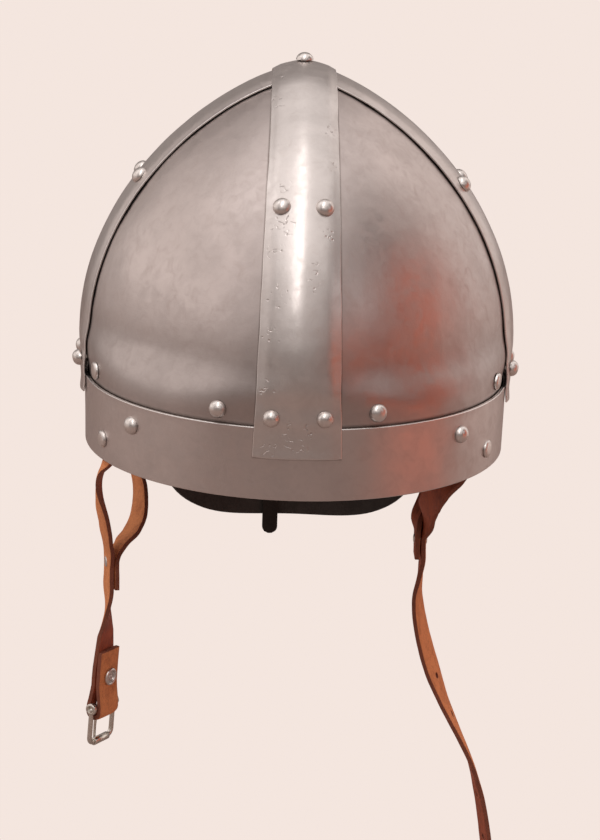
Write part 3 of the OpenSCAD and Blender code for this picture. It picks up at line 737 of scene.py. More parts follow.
    def spot(self, at: tuple[float, float, float], radius: float) -> Socket:
        """1 at a point of the helmet and 0 at a radius round it.

        Args:
            at: The point in millimetres.
            radius: The radius in millimetres.

        Returns:
            The value.
        """
        node = self.node("VectorMath")
        node.operation = "DISTANCE"
        self.link(self.coords, node.inputs[0])
        node.inputs[1].default_value = tuple(v * MM for v in at)
        return self.ramp(node.outputs["Value"], 0.0, radius * MM, 1.0, 0.0)


def struck_places(s: Shader, marks: Sequence[Mark]) -> Socket:
    """The dots and scratches inside struck places.

    Args:
        s: The material.
        marks: The places.

    Returns:
        1 in a dot or scratch and 0 elsewhere.
    """
    inside = s.ramp(s.largest([s.spot(mark.at, mark.r * mark.fade) for mark in marks]), 0.1, 0.5)
    dots = s.ramp(s.cells(2.5), 0.08, 0.3, 1.0, 0.0)
    line = s.sum("ABSOLUTE", s.sum("SUBTRACT", s.noise(5.0, 1, 0.4, warp=0.3), 0.5), 0.0)
    scratches = s.ramp(line, 0.0, 0.022, 0.7, 0.0)
    gate = s.ramp(s.noise(2.9, 1, 0.5), 0.47, 0.56)
    return s.times(inside, s.times(gate, s.sum("MAXIMUM", dots, scratches)))


def contact_shade_and_grime_lines(s: Shader, finish: Steel, covers: Sequence[StrapForm]) -> list[Socket]:
    """The lines of painted contact shade, with some grime, beside what lies on a plate.

    Args:
        s: The material.
        finish: The plate's steel.
        covers: Straps that lie on it.

    Returns:
        One value for each line, 0 away from it.
    """
    lines = [s.beside(form, 1.2) for form in covers]
    if finish.band_line:
        # painted contact shade on the panel just above the band's top edge
        lines.append(s.ramp(s.axis("Z"), DOME.band_h * MM, (DOME.band_h + 1.6) * MM, 0.8, 0.0))
    return lines


def make_steel(finish: Steel, marks: Sequence[Mark] = (), covers: Sequence[StrapForm] = ()) -> Material:
    """Builds a steel.

    Args:
        finish: The steel's values.
        marks: Places that were struck with a punch.
        covers: Straps that lie on it, which get a line of painted contact shade, with some grime, along their
            edges.

    Returns:
        The material.
    """
    s = Shader(finish.name)
    film = s.noise(finish.film_size, 4, 0.6, warp=1.0)
    patch = s.ramp(s.mixed(s.noise(finish.cloud_size, 3, 0.55, warp=0.5), film, 0.65), 0.38, 0.66)
    rim = s.attribute("rim")
    struck = struck_places(s, marks) if marks else None
    base = s.blend(s.times(patch, finish.mottle), finish.colour, finish.darker(0.8))
    base = s.blend(s.times(s.ramp(film, 0.5, 0.8), finish.warm), base, finish.brown)
    # rims lighter: painted edge highlight, partly edges worn bright
    base = s.blend(s.times(s.ramp(rim, 0.2, 1.0), 0.75), base, finish.worn)
    if struck is not None:
        base = s.blend(s.times(struck, 0.4), base, finish.dirt)
    # painted shade with some grime: the panel is darker towards the band
    if finish.band_line:
        ends = [(DOME.band_h + z) * MM for z in finish.shade_and_grime_z]
        base = s.blend(s.ramp(s.axis("Z"), *ends, 0.4, 0.0), base, finish.darker(0.5))
    # painted contact shade, with some grime, beside the straps and above the band
    lines = contact_shade_and_grime_lines(s, finish, covers)
    if lines:
        base = s.blend(s.largest(lines), base, finish.seam)
    s.put(s.surface.inputs["Base Color"], base)
    s.surface.inputs["Metallic"].default_value = 1.0
    smeared = s.ramp(film, 0.3, 0.8, finish.rough - 0.04, finish.rough + 0.06)
    rough = s.sum("ADD", smeared, s.ramp(patch, 0, 1, 0, 0.04))
    s.put(s.surface.inputs["Roughness"], s.sum("SUBTRACT", rough, s.times(rim, 0.06)))
    wide, narrow = finish.dent_sizes
    dents = s.sum("ADD", s.noise(wide, 1, 0.4), s.times(s.noise(narrow, 2, 0.5), 0.3))
    normal = s.bump(dents, finish.dents * 6, 0.32)
    pits = s.ramp(s.cells(finish.pit_gap), 0.04, 0.14, 0.0, 1.0)
    gate = s.ramp(s.noise(13, 2, 0.5), 0.54, 0.66, 1.0, 0.0)
    normal = s.bump(s.sum("MAXIMUM", pits, gate), finish.pits * 4, 0.4, normal)
    if struck is not None:
        normal = s.bump(s.sum("SUBTRACT", 1.0, struck), 0.4, 0.55, normal)
    brushed = s.noise(1, 3, 0.5, vector=s.stretched((240, 240, 1500), 3.0))
    fine = s.noise(finish.fine_size, 3, 0.55)
    normal = s.bump(s.sum("ADD", s.times(brushed, 0.8), fine), 0.045, 0.38, normal)
    s.put(s.surface.inputs["Normal"], normal)
    return s.material


def make_leather(finish: Leather) -> Material:
    """Builds one surface of a leather.

    Args:
        finish: The leather's values.

    Returns:
        The material.
    """
    s = Shader(finish.name)
    cloud = s.noise(finish.cloud_size, 4, 0.6, warp=0.5)
    fine = s.noise(finish.grain, 4, 0.65)
    fibre = s.noise(1, 4, 0.6, vector=s.stretched((700, 700, 260), 5.0), warp=1.5)
    base = s.blend(s.ramp(s.mixed(cloud, fibre, 0.55), 0.42, 0.62), finish.colour, finish.dark)
    base = s.blend(s.ramp(fine, 0.4, 0.7, 0.0, 0.35), base, finish.light)
    base = s.blend(s.ramp(s.attribute("edge"), 0.0, finish.edge_reach, 0.55, 0.0), base, finish.dark)
    s.put(s.surface.inputs["Base Color"], base)
    s.put(s.surface.inputs["Roughness"], s.ramp(fine, 0.3, 0.7, finish.rough - 0.08, finish.rough + 0.1))
    s.surface.inputs["Specular IOR Level"].default_value = 0.3
    if finish.fuzz:
        s.surface.inputs["Sheen Weight"].default_value = finish.fuzz
        s.surface.inputs["Sheen Roughness"].default_value = 0.5
        s.put(s.surface.inputs["Sheen Tint"], finish.colour)
    height = s.sum("ADD", s.times(s.cells(finish.grain * 1.4, True), 0.7), s.times(fibre, 0.8))
    s.put(s.surface.inputs["Normal"], s.bump(height, finish.depth, 0.7, s.bump(cloud, 0.6, 0.25)))
    return s.material


PUNCH_MARKS = [Mark(*place) for place in (
    ((-10.9, -17.1, 172.7), 4.5), ((-12.6, -34.6, 164.8), 6.0), ((11.6, -51.4, 155.5), 5.5),
    ((13.9, -67.9, 142.2), 4.5), ((-8.7, -78.7, 134.3), 4.0), ((-8.8, -92.0, 119.0), 6.5),
    ((-12.1, -97.9, 108.8), 5.0), ((5.1, -103.6, 102.7), 3.6), ((4.8, -107.4, 95.4), 3.8),
    ((-10.3, -108.0, 90.6), 6.0), ((10.7, -112.7, 76.3), 4.0), ((-13.0, -112.7, 73.0), 5.0),
    ((-14.9, -115.6, 50.6), 5.0), ((0.2, -114.6, 29.8), 9.0), ((-11.7, -113.7, 23.8), 5.0),
    ((12.5, -93.0, 115.7), 4.0), ((-12.0, 60.0, 147.0), 7.0), ((9.0, 100.0, 100.0), 8.0),
)]
STEELS = {
    "panel": Steel(
        "panel steel", (0.575, 0.503, 0.48), 0.38, 0.45, dents=0.1, pits=0.03, warm=0.18, band_line=True
    ),
    "band": Steel("band steel", (0.62, 0.553, 0.53), 0.35, 0.5, dents=0.07, pits=0.02, warm=0.2),
    "side": Steel("side strap steel", (0.64, 0.58, 0.555), 0.36, 0.5, dents=0.1, pits=0.04, warm=0.2),
    "crown": Steel("crown strap steel", (0.68, 0.625, 0.6), 0.35, 0.55, dents=0.09, pits=0.03, warm=0.15),
    "rivet": Steel("rivet steel", (0.74, 0.69, 0.66), 0.3, 0.4, dents=0.05, pits=0.02, warm=0.3),
    "wire": Steel("buckle steel", (0.72, 0.68, 0.62), 0.27, 0.4, dents=0.04, pits=0.02, warm=0.3),
}
TAN_LEATHERS = (
    Leather(
        "leather flesh side", (0.72, 0.27, 0.11), (0.5, 0.17, 0.07), 0.85, grain=0.7, depth=0.22, fuzz=0.35
    ),
    Leather("leather grain side", (0.42, 0.095, 0.042), (0.25, 0.058, 0.03), 0.6, grain=0.5, depth=0.1),
    Leather(
        "leather cut edge", (0.31, 0.1, 0.058), (0.17, 0.058, 0.036), 0.9, grain=0.5, depth=0.3, fuzz=0.3
    ),
)
BLACK_LEATHERS = (
    Leather(
        "black leather flesh side", (0.085, 0.077, 0.072), (0.045, 0.04, 0.037), 0.85, grain=0.7, depth=0.2,
        fuzz=0.2,
    ),
    Leather(
        "black leather grain side", (0.07, 0.064, 0.06), (0.04, 0.036, 0.034), 0.5, grain=0.6, depth=0.08
    ),
    Leather("black leather edge", (0.1, 0.08, 0.068), (0.05, 0.04, 0.035), 0.9, grain=0.5, depth=0.25),
)
LACE_LEATHER = Leather("lace", (0.035, 0.024, 0.018), (0.014, 0.01, 0.008), 0.6, grain=0.4, depth=0.08)


class Finishes:
    """Every material of the helmet, made once and shared."""

    def __init__(self) -> None:
        """Makes the materials."""
        self.panel = make_steel(STEELS["panel"], (), (CROWN, SIDE))
        self.band = make_steel(STEELS["band"], (), (CROWN, SIDE))
        self.side = make_steel(STEELS["side"], (), (CROWN,))
        self.crown = make_steel(STEELS["crown"], PUNCH_MARKS)
        self.rivet = make_steel(STEELS["rivet"])
        self.wire = make_steel(STEELS["wire"])
        self.straps = [make_leather(leather) for leather in TAN_LEATHERS]
        self.black = [make_leather(leather) for leather in BLACK_LEATHERS]
        self.lace = make_leather(LACE_LEATHER)


# Mesh tools


def grid(us: Sequence[float], vs: Sequence[float], place: Grid, ring: bool = False) -> BMesh:
    """A sheet over stops in two directions.

    Args:
        us: Stops of the first direction, from 0 to 1.
        vs: Stops of the second direction, from 0 to 1.
        place: Gives the point in millimetres at (u, v).
        ring: Whether the first direction closes on itself.

    Returns:
        The sheet, with "u" and "v" kept as vertex layers.
    """
    bm = bmesh.new()
    n, m = len(us) - 1, len(vs) - 1
    bmesh.ops.create_grid(bm, x_segments=n, y_segments=m, size=1.0)
    u_layer = bm.verts.layers.float.new("u")
    v_layer = bm.verts.layers.float.new("v")
    for vert in bm.verts:
        u = us[round((vert.co.x + 1) / 2 * n)]
        v = vs[round((vert.co.y + 1) / 2 * m)]
        vert[u_layer], vert[v_layer] = u, v
        vert.co = place(u, v)
    if ring:
        ends = [v for v in bm.verts if v[u_layer] in (us[0], us[-1])]
        bmesh.ops.remove_doubles(bm, verts=ends, dist=1e-4)
        for vert in bm.verts:
            if vert[u_layer] == us[-1]:
                vert[u_layer] = us[0]
    return bm


def grid_layers(bm: BMesh) -> tuple:
    """The "u" and "v" layers of a sheet."""
    return bm.verts.layers.float["u"], bm.verts.layers.float["v"]


def column_of(face: bmesh.types.BMFace, u_layer: bmesh.types.BMLayerItem, n: int) -> int:
    """The column of a closed sheet that a face lies in.

    Args:
        face: The face.
        u_layer: The sheet's "u" layer.
        n: Number of columns.

    Returns:
        The column's number.
    """
    us = sorted(v[u_layer] for v in face.verts)
    middle = (us[0] + us[-1]) / 2 if us[-1] - us[0] < 0.5 else 1 - 0.5 / n
    return int(middle * n)


def mark_rim(bm: BMesh, ring: bool = False) -> None:
    """Marks a sheet's outline in a layer, where the metal gets a painted edge highlight, partly edge wear.

    Args:
        bm: The sheet.
        ring: Whether its first direction is closed and has no outline.
    """
    u_layer, v_layer = grid_layers(bm)
    rim = bm.verts.layers.float.new("rim")
    for vert in bm.verts:
        at_side = not ring and vert[u_layer] in (0.0, 1.0)
        vert[rim] = 1.0 if at_side or vert[v_layer] in (0.0, 1.0) else 0.0


def thicken(bm: BMesh, inner: Callable[[BMVert], Vector]) -> None:
    """Gives a sheet its other side and its rim.

    Args:
        bm: The sheet.
        inner: Gives the other side's point for a vertex.
    """
    made = bmesh.ops.extrude_face_region(bm, geom=list(bm.faces))
    back = [v for v in made["geom"] if isinstance(v, BMVert)]
    places = [inner(v) for v in back]
    for vert, place in zip(back, places):
        vert.co = place
    bmesh.ops.recalc_face_normals(bm, faces=list(bm.faces))


def bevel(
    bm: BMesh, edges: Sequence[bmesh.types.BMEdge], radius: float, segments: int = 2
) -> None:
    """Rounds edges by a radius in millimetres."""
    bmesh.ops.bevel(
        bm, geom=edges, offset=radius, segments=segments, affect="EDGES", profile=0.5, material=-1,
        clamp_overlap=True,
    )


def soften(bm: BMesh, radius: float, segments: int = 2, above: float = 55.0) -> None:
    """Rounds the edges that are sharper than an angle in degrees."""
    sharp = [e for e in bm.edges if len(e.link_faces) == 2 and e.calc_face_angle(0) > math.radians(above)]
    bevel(bm, sharp, radius, segments)


def turn_outward(bm: BMesh) -> None:
    """Makes every face point outward."""
    bmesh.ops.recalc_face_normals(bm, faces=list(bm.faces))


def finish_mesh(
    bm: BMesh, name: str, materials: Sequence[Material], crease: float = 40.0
) -> bpy.types.Object:
    """Turns a bmesh in millimetres into a smooth shaded object in metres.

    Args:
        bm: The mesh, which is freed.
        name: Name of the object.
        materials: Its material slots.
        crease: Angle in degrees above which an edge stays sharp.

    Returns:
        The new object, at the origin.
    """
    bmesh.ops.scale(bm, vec=(MM, MM, MM), verts=list(bm.verts))
    for face in bm.faces:
        face.smooth = True
    for edge in bm.edges:
        edge.smooth = not (len(edge.link_faces) == 2 and edge.calc_face_angle(0) > math.radians(crease))
    name = name.replace(" ", "_")
    mesh = bpy.data.meshes.new(name)
    bm.to_mesh(mesh)
    bm.free()
    obj = bpy.data.objects.new(name, mesh)
    bpy.context.scene.collection.objects.link(obj)
    for material in materials:
        mesh.materials.append(material)
    return obj


def settle(
    bm: BMesh, name: str, node: str, materials: Sequence[Material],
    body: str = "helmet", crease: float = 50.0,
) -> None:
    """Makes a mesh a finished piece of a body, in place of a CAD node.

    Args:
        bm: The mesh, which is freed.
        name: Name of the object.
        node: The CAD node.
        materials: Its material slots.
        body: Body that it rides on.
        crease: Angle in degrees above which an edge stays sharp.
    """
    obj = finish_mesh(bm, name, materials, crease)
    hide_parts(node)
    log.info("%s on %s", obj.name, body)
    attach(obj, body)


def dress_cad(names: Sequence[str], material: Material) -> None:
    """Gives CAD nodes that stay on show a material.

    Args:
        names: The nodes.
        material: The material.
    """
    for name in names:
        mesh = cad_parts[name].data
        mesh.materials.clear()
        mesh.materials.append(material)
        log.info("%s dressed in %s", name, material.name)


def tube(
    path: Sequence[Vector], sides: int, radius: Callable[[float, float], float], closed: bool = False,
    up: Vector = Vector((0.0, 0.0, 1.0)),
) -> BMesh:
    """A round wire along a path.

    Args:
        path: Points in millimetres.
        sides: Number of sides.
        radius: Gives the radius at (share of the path, share of the turn).
        closed: Whether the path's last point joins its first.
        up: Direction that the sections start from.

    Returns:
        The closed tube.
    """
    n = len(path)
    frames: list[tuple[Vector, Vector, Vector]] = []
    side = up
    for i in range(n):
        ahead = path[(i + 1) % n if closed else min(i + 1, n - 1)] - path[i - 1 if closed else max(i - 1, 0)]
        ahead.normalize()
        side = (side - ahead * side.dot(ahead)).normalized()
        frames.append((path[i], side, ahead.cross(side)))

    def place(u: float, v: float) -> Vector:
        """Gives a point of a section.

        Args:
            u: Share of the turn.
            v: Share of the path.

        Returns:
            The point.
        """
        at, a, b = frames[round(v * (n if closed else n - 1)) % n]
        c, s = degrees(360 * u)
        return at + (a * c + b * s) * radius(v, u)

    turns = [i / sides for i in range(sides + 1)]
    stops = [i / n for i in range(n + 1)] if closed else [i / (n - 1) for i in range(n)]
    bm = grid(turns, stops, place, ring=True)
    if closed:
        bmesh.ops.remove_doubles(bm, verts=list(bm.verts), dist=1e-4)
    else:
        bmesh.ops.holes_fill(bm, edges=[e for e in bm.edges if e.is_boundary], sides=0)
    turn_outward(bm)
    return bm


def connected(verts: Sequence[BMVert]) -> set[BMVert]:
    """Every vertex that hangs together with some.

    Args:
        verts: Vertices to start from; those that are gone are left out.

    Returns:
        The vertices.
    """
    grown = {v for v in verts if v.is_valid}
    todo = list(grown)
    while todo:
        vert = todo.pop()
        for edge in vert.link_edges:
            other = edge.other_vert(vert)
            if other not in grown:
                grown.add(other)
                todo.append(other)
    return grown


def turned(
    bm: BMesh, profile: Sequence[tuple[float, float]], place: Matrix, steps: int = 40
) -> None:
    """Adds a turned solid to a mesh.

    Args:
        bm: The mesh.
        profile: (radius, height) points in millimetres, from axis to axis.
        place: Where it stands: its axis is the matrix's Z.
        steps: Number of steps of the turn.
    """
    verts = [bm.verts.new((r, 0.0, z)) for r, z in profile]
    edges = [bm.edges.new(pair) for pair in zip(verts, verts[1:])]
    bmesh.ops.spin(
        bm, geom=verts + edges, cent=(0, 0, 0), axis=(0, 0, 1), angle=math.tau, steps=steps, use_merge=True
    )
    bmesh.ops.remove_doubles(bm, verts=list(connected(verts)), dist=1e-4)
    bmesh.ops.transform(bm, matrix=place, verts=list(connected(verts)))


def upright(n: Vector) -> Matrix:
    """A turn that brings Z along n."""
    return n.to_track_quat("Z", "Y").to_matrix().to_4x4()


def standing(at: Vector, n: Vector, tilt: float = 0.0) -> Matrix:
    """A matrix at a point with its Z along n, tilted by some degrees about its X."""
    return Matrix.Translation(at) @ upright(n) @ Matrix.Rotation(math.radians(tilt), 4, "X")


# Steel plates


@dataclass
class Plates:
    """The four panels, the brow band and the two straps over the dome."""

    finishes: Finishes
    panel_t: float = 1.5
    panel_z: float = 15.0
    panel_split: float = 5.0
    panel_top_r: float = 9.0
    panel_steps: tuple[int, int] = (56, 64)
    panel_size: tuple[float, float] = (150.0, 180.0)
    panel_belly: float = 0.34
    panel_sink: float = 0.1
    calm_z: float = 40.0
    calm_rise: float = 12.0
    strap_t: float = 1.5
    strap_steps: int = 16
    joggle: float = 11.0
    joggle_gap: float = 1.5
    crossing: float = 17.5
    crossing_joggle: float = 30.0
    edge_drop: float = 0.65
    edge_share: float = 0.7
    ragged: float = 0.25
    spring_z: float = 5.0
    band_steps: tuple[int, int] = (320, 12)
    band_waviness: float = 0.12
    rim_edge: float = 0.5
    waviness: float = 0.16
    panel_round: float = 0.25
    band_round: float = 0.4
    strap_round: float = 0.3

    @property
    def band_lift(self) -> float:
        """Height of the band's outer face over the panels' face, with its gap."""
        return DOME.band_t + DOME.lap_gap

    def over_band(self, z: float) -> float:
        """Lift of a strap's underside where it climbs over the band."""
        return self.band_lift * ease((DOME.band_h + self.joggle_gap + self.joggle - z) / self.joggle)

    def over_plate(self, d: float) -> float:
        """Lift of the crown strap at a distance from the side strap's middle."""
        near = ease((self.crossing + self.crossing_joggle - d) / self.crossing_joggle)
        return near * (self.strap_t + DOME.lap_gap)

    def uneven(self, p: Vector, seed: float) -> float:
        """The hand-worked unevenness of a plate in millimetres."""
        return self.waviness * (wave(p, 21.0, seed) + 0.5 * wave(p, 9.0, seed + 4.0))

    def worn(self, u: float) -> float:
        """How much a strap's upper face falls off at a share of its width."""
        return self.edge_drop * ease((abs(2 * u - 1) - self.edge_share) / 0.3)

    def row_z(self, v: float) -> float:
        """Height of a panel's row.

        Args:
            v: Share of the rows, from the lower edge.

        Returns:
            The height.
        """
        turn = self.panel_belly
        if v <= turn:
            return mix(self.panel_z, DOME.belly_z, v / turn)
        top = math.acos((self.panel_top_r / DOME.belly_half) ** (DOME.peak_power / 2))
        return DOME.belly_z + DOME.rise * math.sin(top * (v - turn) / (1 - turn)) ** (2 / DOME.shoulder_power)

    def panel(self, end: End, side: Side) -> None:
        """Builds one panel of the dome.

        Args:
            end: Its end of the helmet.
            side: Its side of the helmet.
        """
        node = f"panel_{end.name.lower()}_{side.name.lower()}"
        seed = 3.0 * side.value + 7.0 * end.value

        def place(u: float, v: float) -> Vector:
            """Gives a point of the outer face.

            Args:
                u: Share from the side strap to the crown strap.
                v: Share of the rows, from the lower edge.

            Returns:
                The point.
            """
            z = self.row_z(v)
            c = self.panel_split / 2
            start = math.degrees(math.atan2(c / DOME.plan_k, DOME.x_at(c, z)))
            stop = math.degrees(math.atan2(DOME.y_at(c, z) / DOME.plan_k, c))
            p = DOME.at_angle(mix(start, stop, u), z)
            p = Vector((side.value * p.x, end.value * p.y, z))
            calm = ease((z - self.calm_z) / self.calm_rise)
            return DOME.lifted(p, -self.panel_sink + self.uneven(p, seed) * calm - self.panel_sink * calm)

        us, vs = [edge_stops(n, size, self.rim_edge) for n, size in zip(self.panel_steps, self.panel_size)]
        bm = grid(us, vs, place)
        mark_rim(bm)
        thicken(bm, lambda v: DOME.lifted(v.co, -self.panel_t + self.panel_sink))
        soften(bm, self.panel_round)
        settle(bm, f"{node} skin", node, [self.finishes.panel], crease=40)

    def band(self) -> None:
        """Builds the brow band."""

        def place(u: float, v: float) -> Vector:
            """Gives a point of the outer face.

            Args:
                u: Share of the way round.
                v: Share of the height.

            Returns:
                The point.
            """
            p = DOME.at_angle(360 * u, DOME.band_h * v)
            free = 4 * v * (1 - v)
            return DOME.lifted(p, self.band_lift + self.band_waviness * free * wave(p, 24.0, 5.0))

        round_steps, up_steps = self.band_steps
        turns = [i / round_steps for i in range(round_steps + 1)]
        bm = grid(turns, edge_stops(up_steps, DOME.band_h, self.rim_edge), place, ring=True)
        mark_rim(bm, True)
        thicken(bm, lambda v: DOME.lifted(v.co, -DOME.band_t))
        soften(bm, self.band_round, 3)
        settle(bm, "brow band skin", "brow_band", [self.finishes.band], crease=40)

    def underside(self, form: StrapForm, p: Vector) -> float:
        """Height of a strap's underside over the panels' face.

        Args:
            form: The strap.
            p: A point of the panels' face below it.

        Returns:
            The height.
        """
        lift = DOME.lap_gap + self.over_band(p.z)
        if form.run is Run.FRONT_TO_BACK and p.z > DOME.belly_z:
            lift += self.over_plate(abs(p.y))
        return lift + form.spring * ease((form.end_z + self.spring_z - p.z) / self.spring_z)

    def strap_rows(self, form: StrapForm) -> list[tuple[Vector, Vector, float]]:
        """Stations of a whole strap, from one end over the peak to the other.

        Args:
            form: The strap.

        Returns:
            (middle, normal, half width) of each.
        """
        half_line, halves = form.stations(), form.half_widths()
        line = [(-r, z) for r, z in reversed(half_line[1:])] + half_line
        middle = len(half_line) - 1
        rows = []
        for i, (r, z) in enumerate(line):
            mid = form.middle(r, z)
            up = Vector((0, 0, 1)) if i == middle else DOME.normal(mid)
            rows.append((mid, up, halves[abs(i - middle)]))
        return rows

    def strap(self, node: str, form: StrapForm, steel: Material) -> None:
        """Builds a strap over the dome.

        Args:
            node: CAD node that it stands for.
            form: Its direction, widths and ends.
            steel: Its material.
        """
        rows = self.strap_rows(form)
        n = len(rows) - 1

        def place(u: float, v: float) -> Vector:
            """Gives a point of the upper face.

            Args:
                u: Share across the strap.
                v: Share along the strap.

            Returns:
                The point.
            """
            mid, up, half = rows[round(v * n)]
            edge = form.seed + (20 if u > 0.5 else 0)
            ragged = self.ragged * wave(mid, 14.0, edge) * ease(abs(2 * u - 1) * 1.5 - 0.4)
            offset = (2 * u - 1) * (half + ragged)
            p = mid if abs(offset) < 1e-6 else DOME.seat(mid + form.across * offset, up)
            face = self.underside(form, p) + self.strap_t
            return DOME.lifted(p, face + 0.8 * self.uneven(p, form.seed) - self.worn(u))

        us = edge_stops(self.strap_steps, sum(form.widths) / 2, self.rim_edge)
        bm = grid(us, [i / n for i in range(n + 1)], place)
        mark_rim(bm)
        u_layer, _ = grid_layers(bm)
        thicken(bm, lambda v: DOME.lifted(v.co, self.worn(v[u_layer]) - self.strap_t))
        soften(bm, self.strap_round, 3)
        settle(bm, f"{node} skin", node, [steel], crease=40)

    def build(self) -> None:
        """Builds every plate."""
        for end in End:
            for side in Side:
                self.panel(end, side)
        self.band()
        self.strap("side_strap", SIDE, self.finishes.side)
        self.strap("crown_strap", CROWN, self.finishes.crown)


# Rivets


CHIN_RIVET_ANGLE = 27.5
CHIN_RIVET_Z = 10.3


@dataclass(frozen=True)
class Head:
    """A rivet's head: its radius, height and how square its shoulder is."""

    r: float = 4.1
    h: float = 3.3
    shoulder: float = 2.0

    def profile(
        self, low: float, high: float, shank: float, peen: tuple[float, float]
    ) -> list[tuple[float, float]]:
        """The rivet's outline from the hammered end's pole to the head's pole.

        Args:
            low: Height of the hammered end's face.
            high: Height of the head's face.
            shank: Radius of the shank.
            peen: Radius and height of the hammered end.

        Returns:
            (radius, height) points.
        """
        points = []
        peen_steps, head_steps = 6, 14
        for i in range(peen_steps + 1):
            c, s = degrees(90 * i / peen_steps)
            points.append((peen[0] * s, low - peen[1] * c))
        points += [(shank, low), (shank, high)]
        for i in range(head_steps + 1):
            c, s = degrees(90 * i / head_steps)
            points.append((self.r * c ** (2 / self.shoulder), high + self.h * s ** (2 / self.shoulder)))
        points[0] = (0.0, points[0][1])
        points[-1] = (0.0, points[-1][1])
        return points


@dataclass(frozen=True)
class Four:
    """Four like rivets, one in each quadrant, with the (low, high) offsets of each pair's ends."""

    at: Vector
    head: Head
    front: tuple[float, float]
    rear: tuple[float, float]


@dataclass
class Rivets:
    """Every rivet of the dome and the band."""

    finishes: Finishes
    domed: Head = Head(4.1, 3.3, 2.0)
    tall: Head = Head(3.9, 3.7, 2.25)
    flat: Head = Head(4.1, 1.65, 3.6)
    shank: float = 1.9
    peen: tuple[float, float] = (3.0, 1.4)
    plate_low: float = -1.95
    liner_low: float = -5.65
    flap_low: float = -8.0
    tab_low: float = -4.25
    peak_low: float = -0.7
    panel_top: float = 0.05
    strap_top: float = 1.85
    lower_top: float = 2.85
    band_top: float = 1.95
    peak_top: float = 3.65
    upper_z: float = 125.0
    crown_z: float = 38.5
    side_z: float = 40.1
    liner_z: float = 39.0
    band_z: float = 23.0
    crown_x: tuple[float, float] = (9.0, 11.3)
    side_y: tuple[float, float] = (9.5, 12.5)
    liner_angles: tuple[float, float] = (20.0, 69.0)
    band_angle: float = 42.0
    count: int = 0

    def one(self, bm: BMesh, p: Vector, head: Head, low: float, high: float) -> None:
        """Adds one rivet that stands on the face at p, each a little different.

        Args:
            bm: The mesh of all rivets of one node.
            p: Its place on the panels' face.
            head: Its head.
            low: Offset of its hammered end from the face.
            high: Offset of its head's base from the face.
        """
        self.count += 1
        c, s = degrees(137.5 * self.count)
        own = Head(head.r * (1 + 0.025 * c), head.h * (1 + 0.05 * s), head.shoulder)
        n = Vector((0, 0, 1)) if p.x == p.y == 0 else DOME.normal(p)
        turned(bm, own.profile(low, high, self.shank, self.peen), standing(p, n, 1.6 * s))

    def quadrants(self, bm: BMesh, four: Four) -> None:
        """Adds a rivet in each quadrant.

        Args:
            bm: The mesh.
            four: The rivets.
        """
        for end, (low, high) in ((End.FRONT, four.front), (End.REAR, four.rear)):
            for side in Side:
                p = Vector((side.value * four.at.x, end.value * four.at.y, four.at.z))
                self.one(bm, p, four.head, low, high)

    def rows(self) -> dict[str, tuple[Four, ...]]:
        """Lists the rivets of each node.

        Returns:
            The rivets, in fours, by node.
        """
        on_strap, on_lower = (self.plate_low, self.strap_top), (self.liner_low, self.lower_top)
        on_panel, on_band = (self.liner_low, self.panel_top), (self.plate_low, self.band_top)
        through, behind = (self.tab_low, self.band_top), self.flap_low
        crown_up = DOME.rear_point(self.crown_x[0], self.upper_z)
        crown_low = DOME.rear_point(self.crown_x[1], self.crown_z)
        side_up = DOME.side_point(self.side_y[0], self.upper_z)
        side_low = DOME.side_point(self.side_y[1], self.side_z)
        liner_side, liner_end = [DOME.at_angle(angle, self.liner_z) for angle in self.liner_angles]
        return {
            "crown_strap_rivets": (
                Four(crown_up, self.domed, on_strap, on_strap),
                Four(crown_low, self.tall, on_lower, (behind, self.lower_top)),
            ),
            "side_strap_rivets": (
                Four(side_up, self.domed, on_strap, on_strap),
                Four(side_low, self.tall, on_lower, on_lower),
            ),
            "liner_rivets": (
                Four(liner_side, self.flat, on_panel, on_panel),
                Four(liner_end, self.domed, on_panel, (behind, self.panel_top)),
            ),
            "band_rivets": (Four(DOME.at_angle(self.band_angle, self.band_z), self.domed, on_band, on_band),),
            "chin_strap_rivets": (
                Four(DOME.at_angle(CHIN_RIVET_ANGLE, CHIN_RIVET_Z), self.flat, through, through),
            ),
        }

    def close(self, bm: BMesh, node: str) -> None:
        """Makes one node's rivets an object on the helmet."""
        turn_outward(bm)
        settle(bm, f"{node} turned", node, [self.finishes.rivet])

    def build(self) -> None:
        """Builds the rivets, node by node."""
        bm = bmesh.new()
        self.one(bm, Vector((0, 0, DOME.peak_z)), self.domed, self.peak_low, self.peak_top)
        self.close(bm, "peak_rivet")
        for node, fours in self.rows().items():
            bm = bmesh.new()
            for four in fours:
                self.quadrants(bm, four)
            self.close(bm, node)
        dress_cad(("liner_washers", "chin_strap_washers"), self.finishes.rivet)


# Liner, lace, nape flap and thong


@dataclass(frozen=True)
class Thong:
    """The narrow thong under the nape flap: a strip with a rounded tip."""

    x: float = -10.2
    top_z: float = -54.5
    tip_z: float = -78.6
    round_z: float = -74.7
    round_r: float = 4.0
    half: float = 3.9
    half_t: float = 0.9
    gap: float = 0.35
    half_seat: float = 1.0
    steps: tuple[int, int] = (10, 24)

    def half_at(self, z: float) -> float:
        """Half of its width at a height."""
        return self.half * (1 - max(0.0, (self.round_z - z) / self.round_r) ** 2.4) ** 0.5


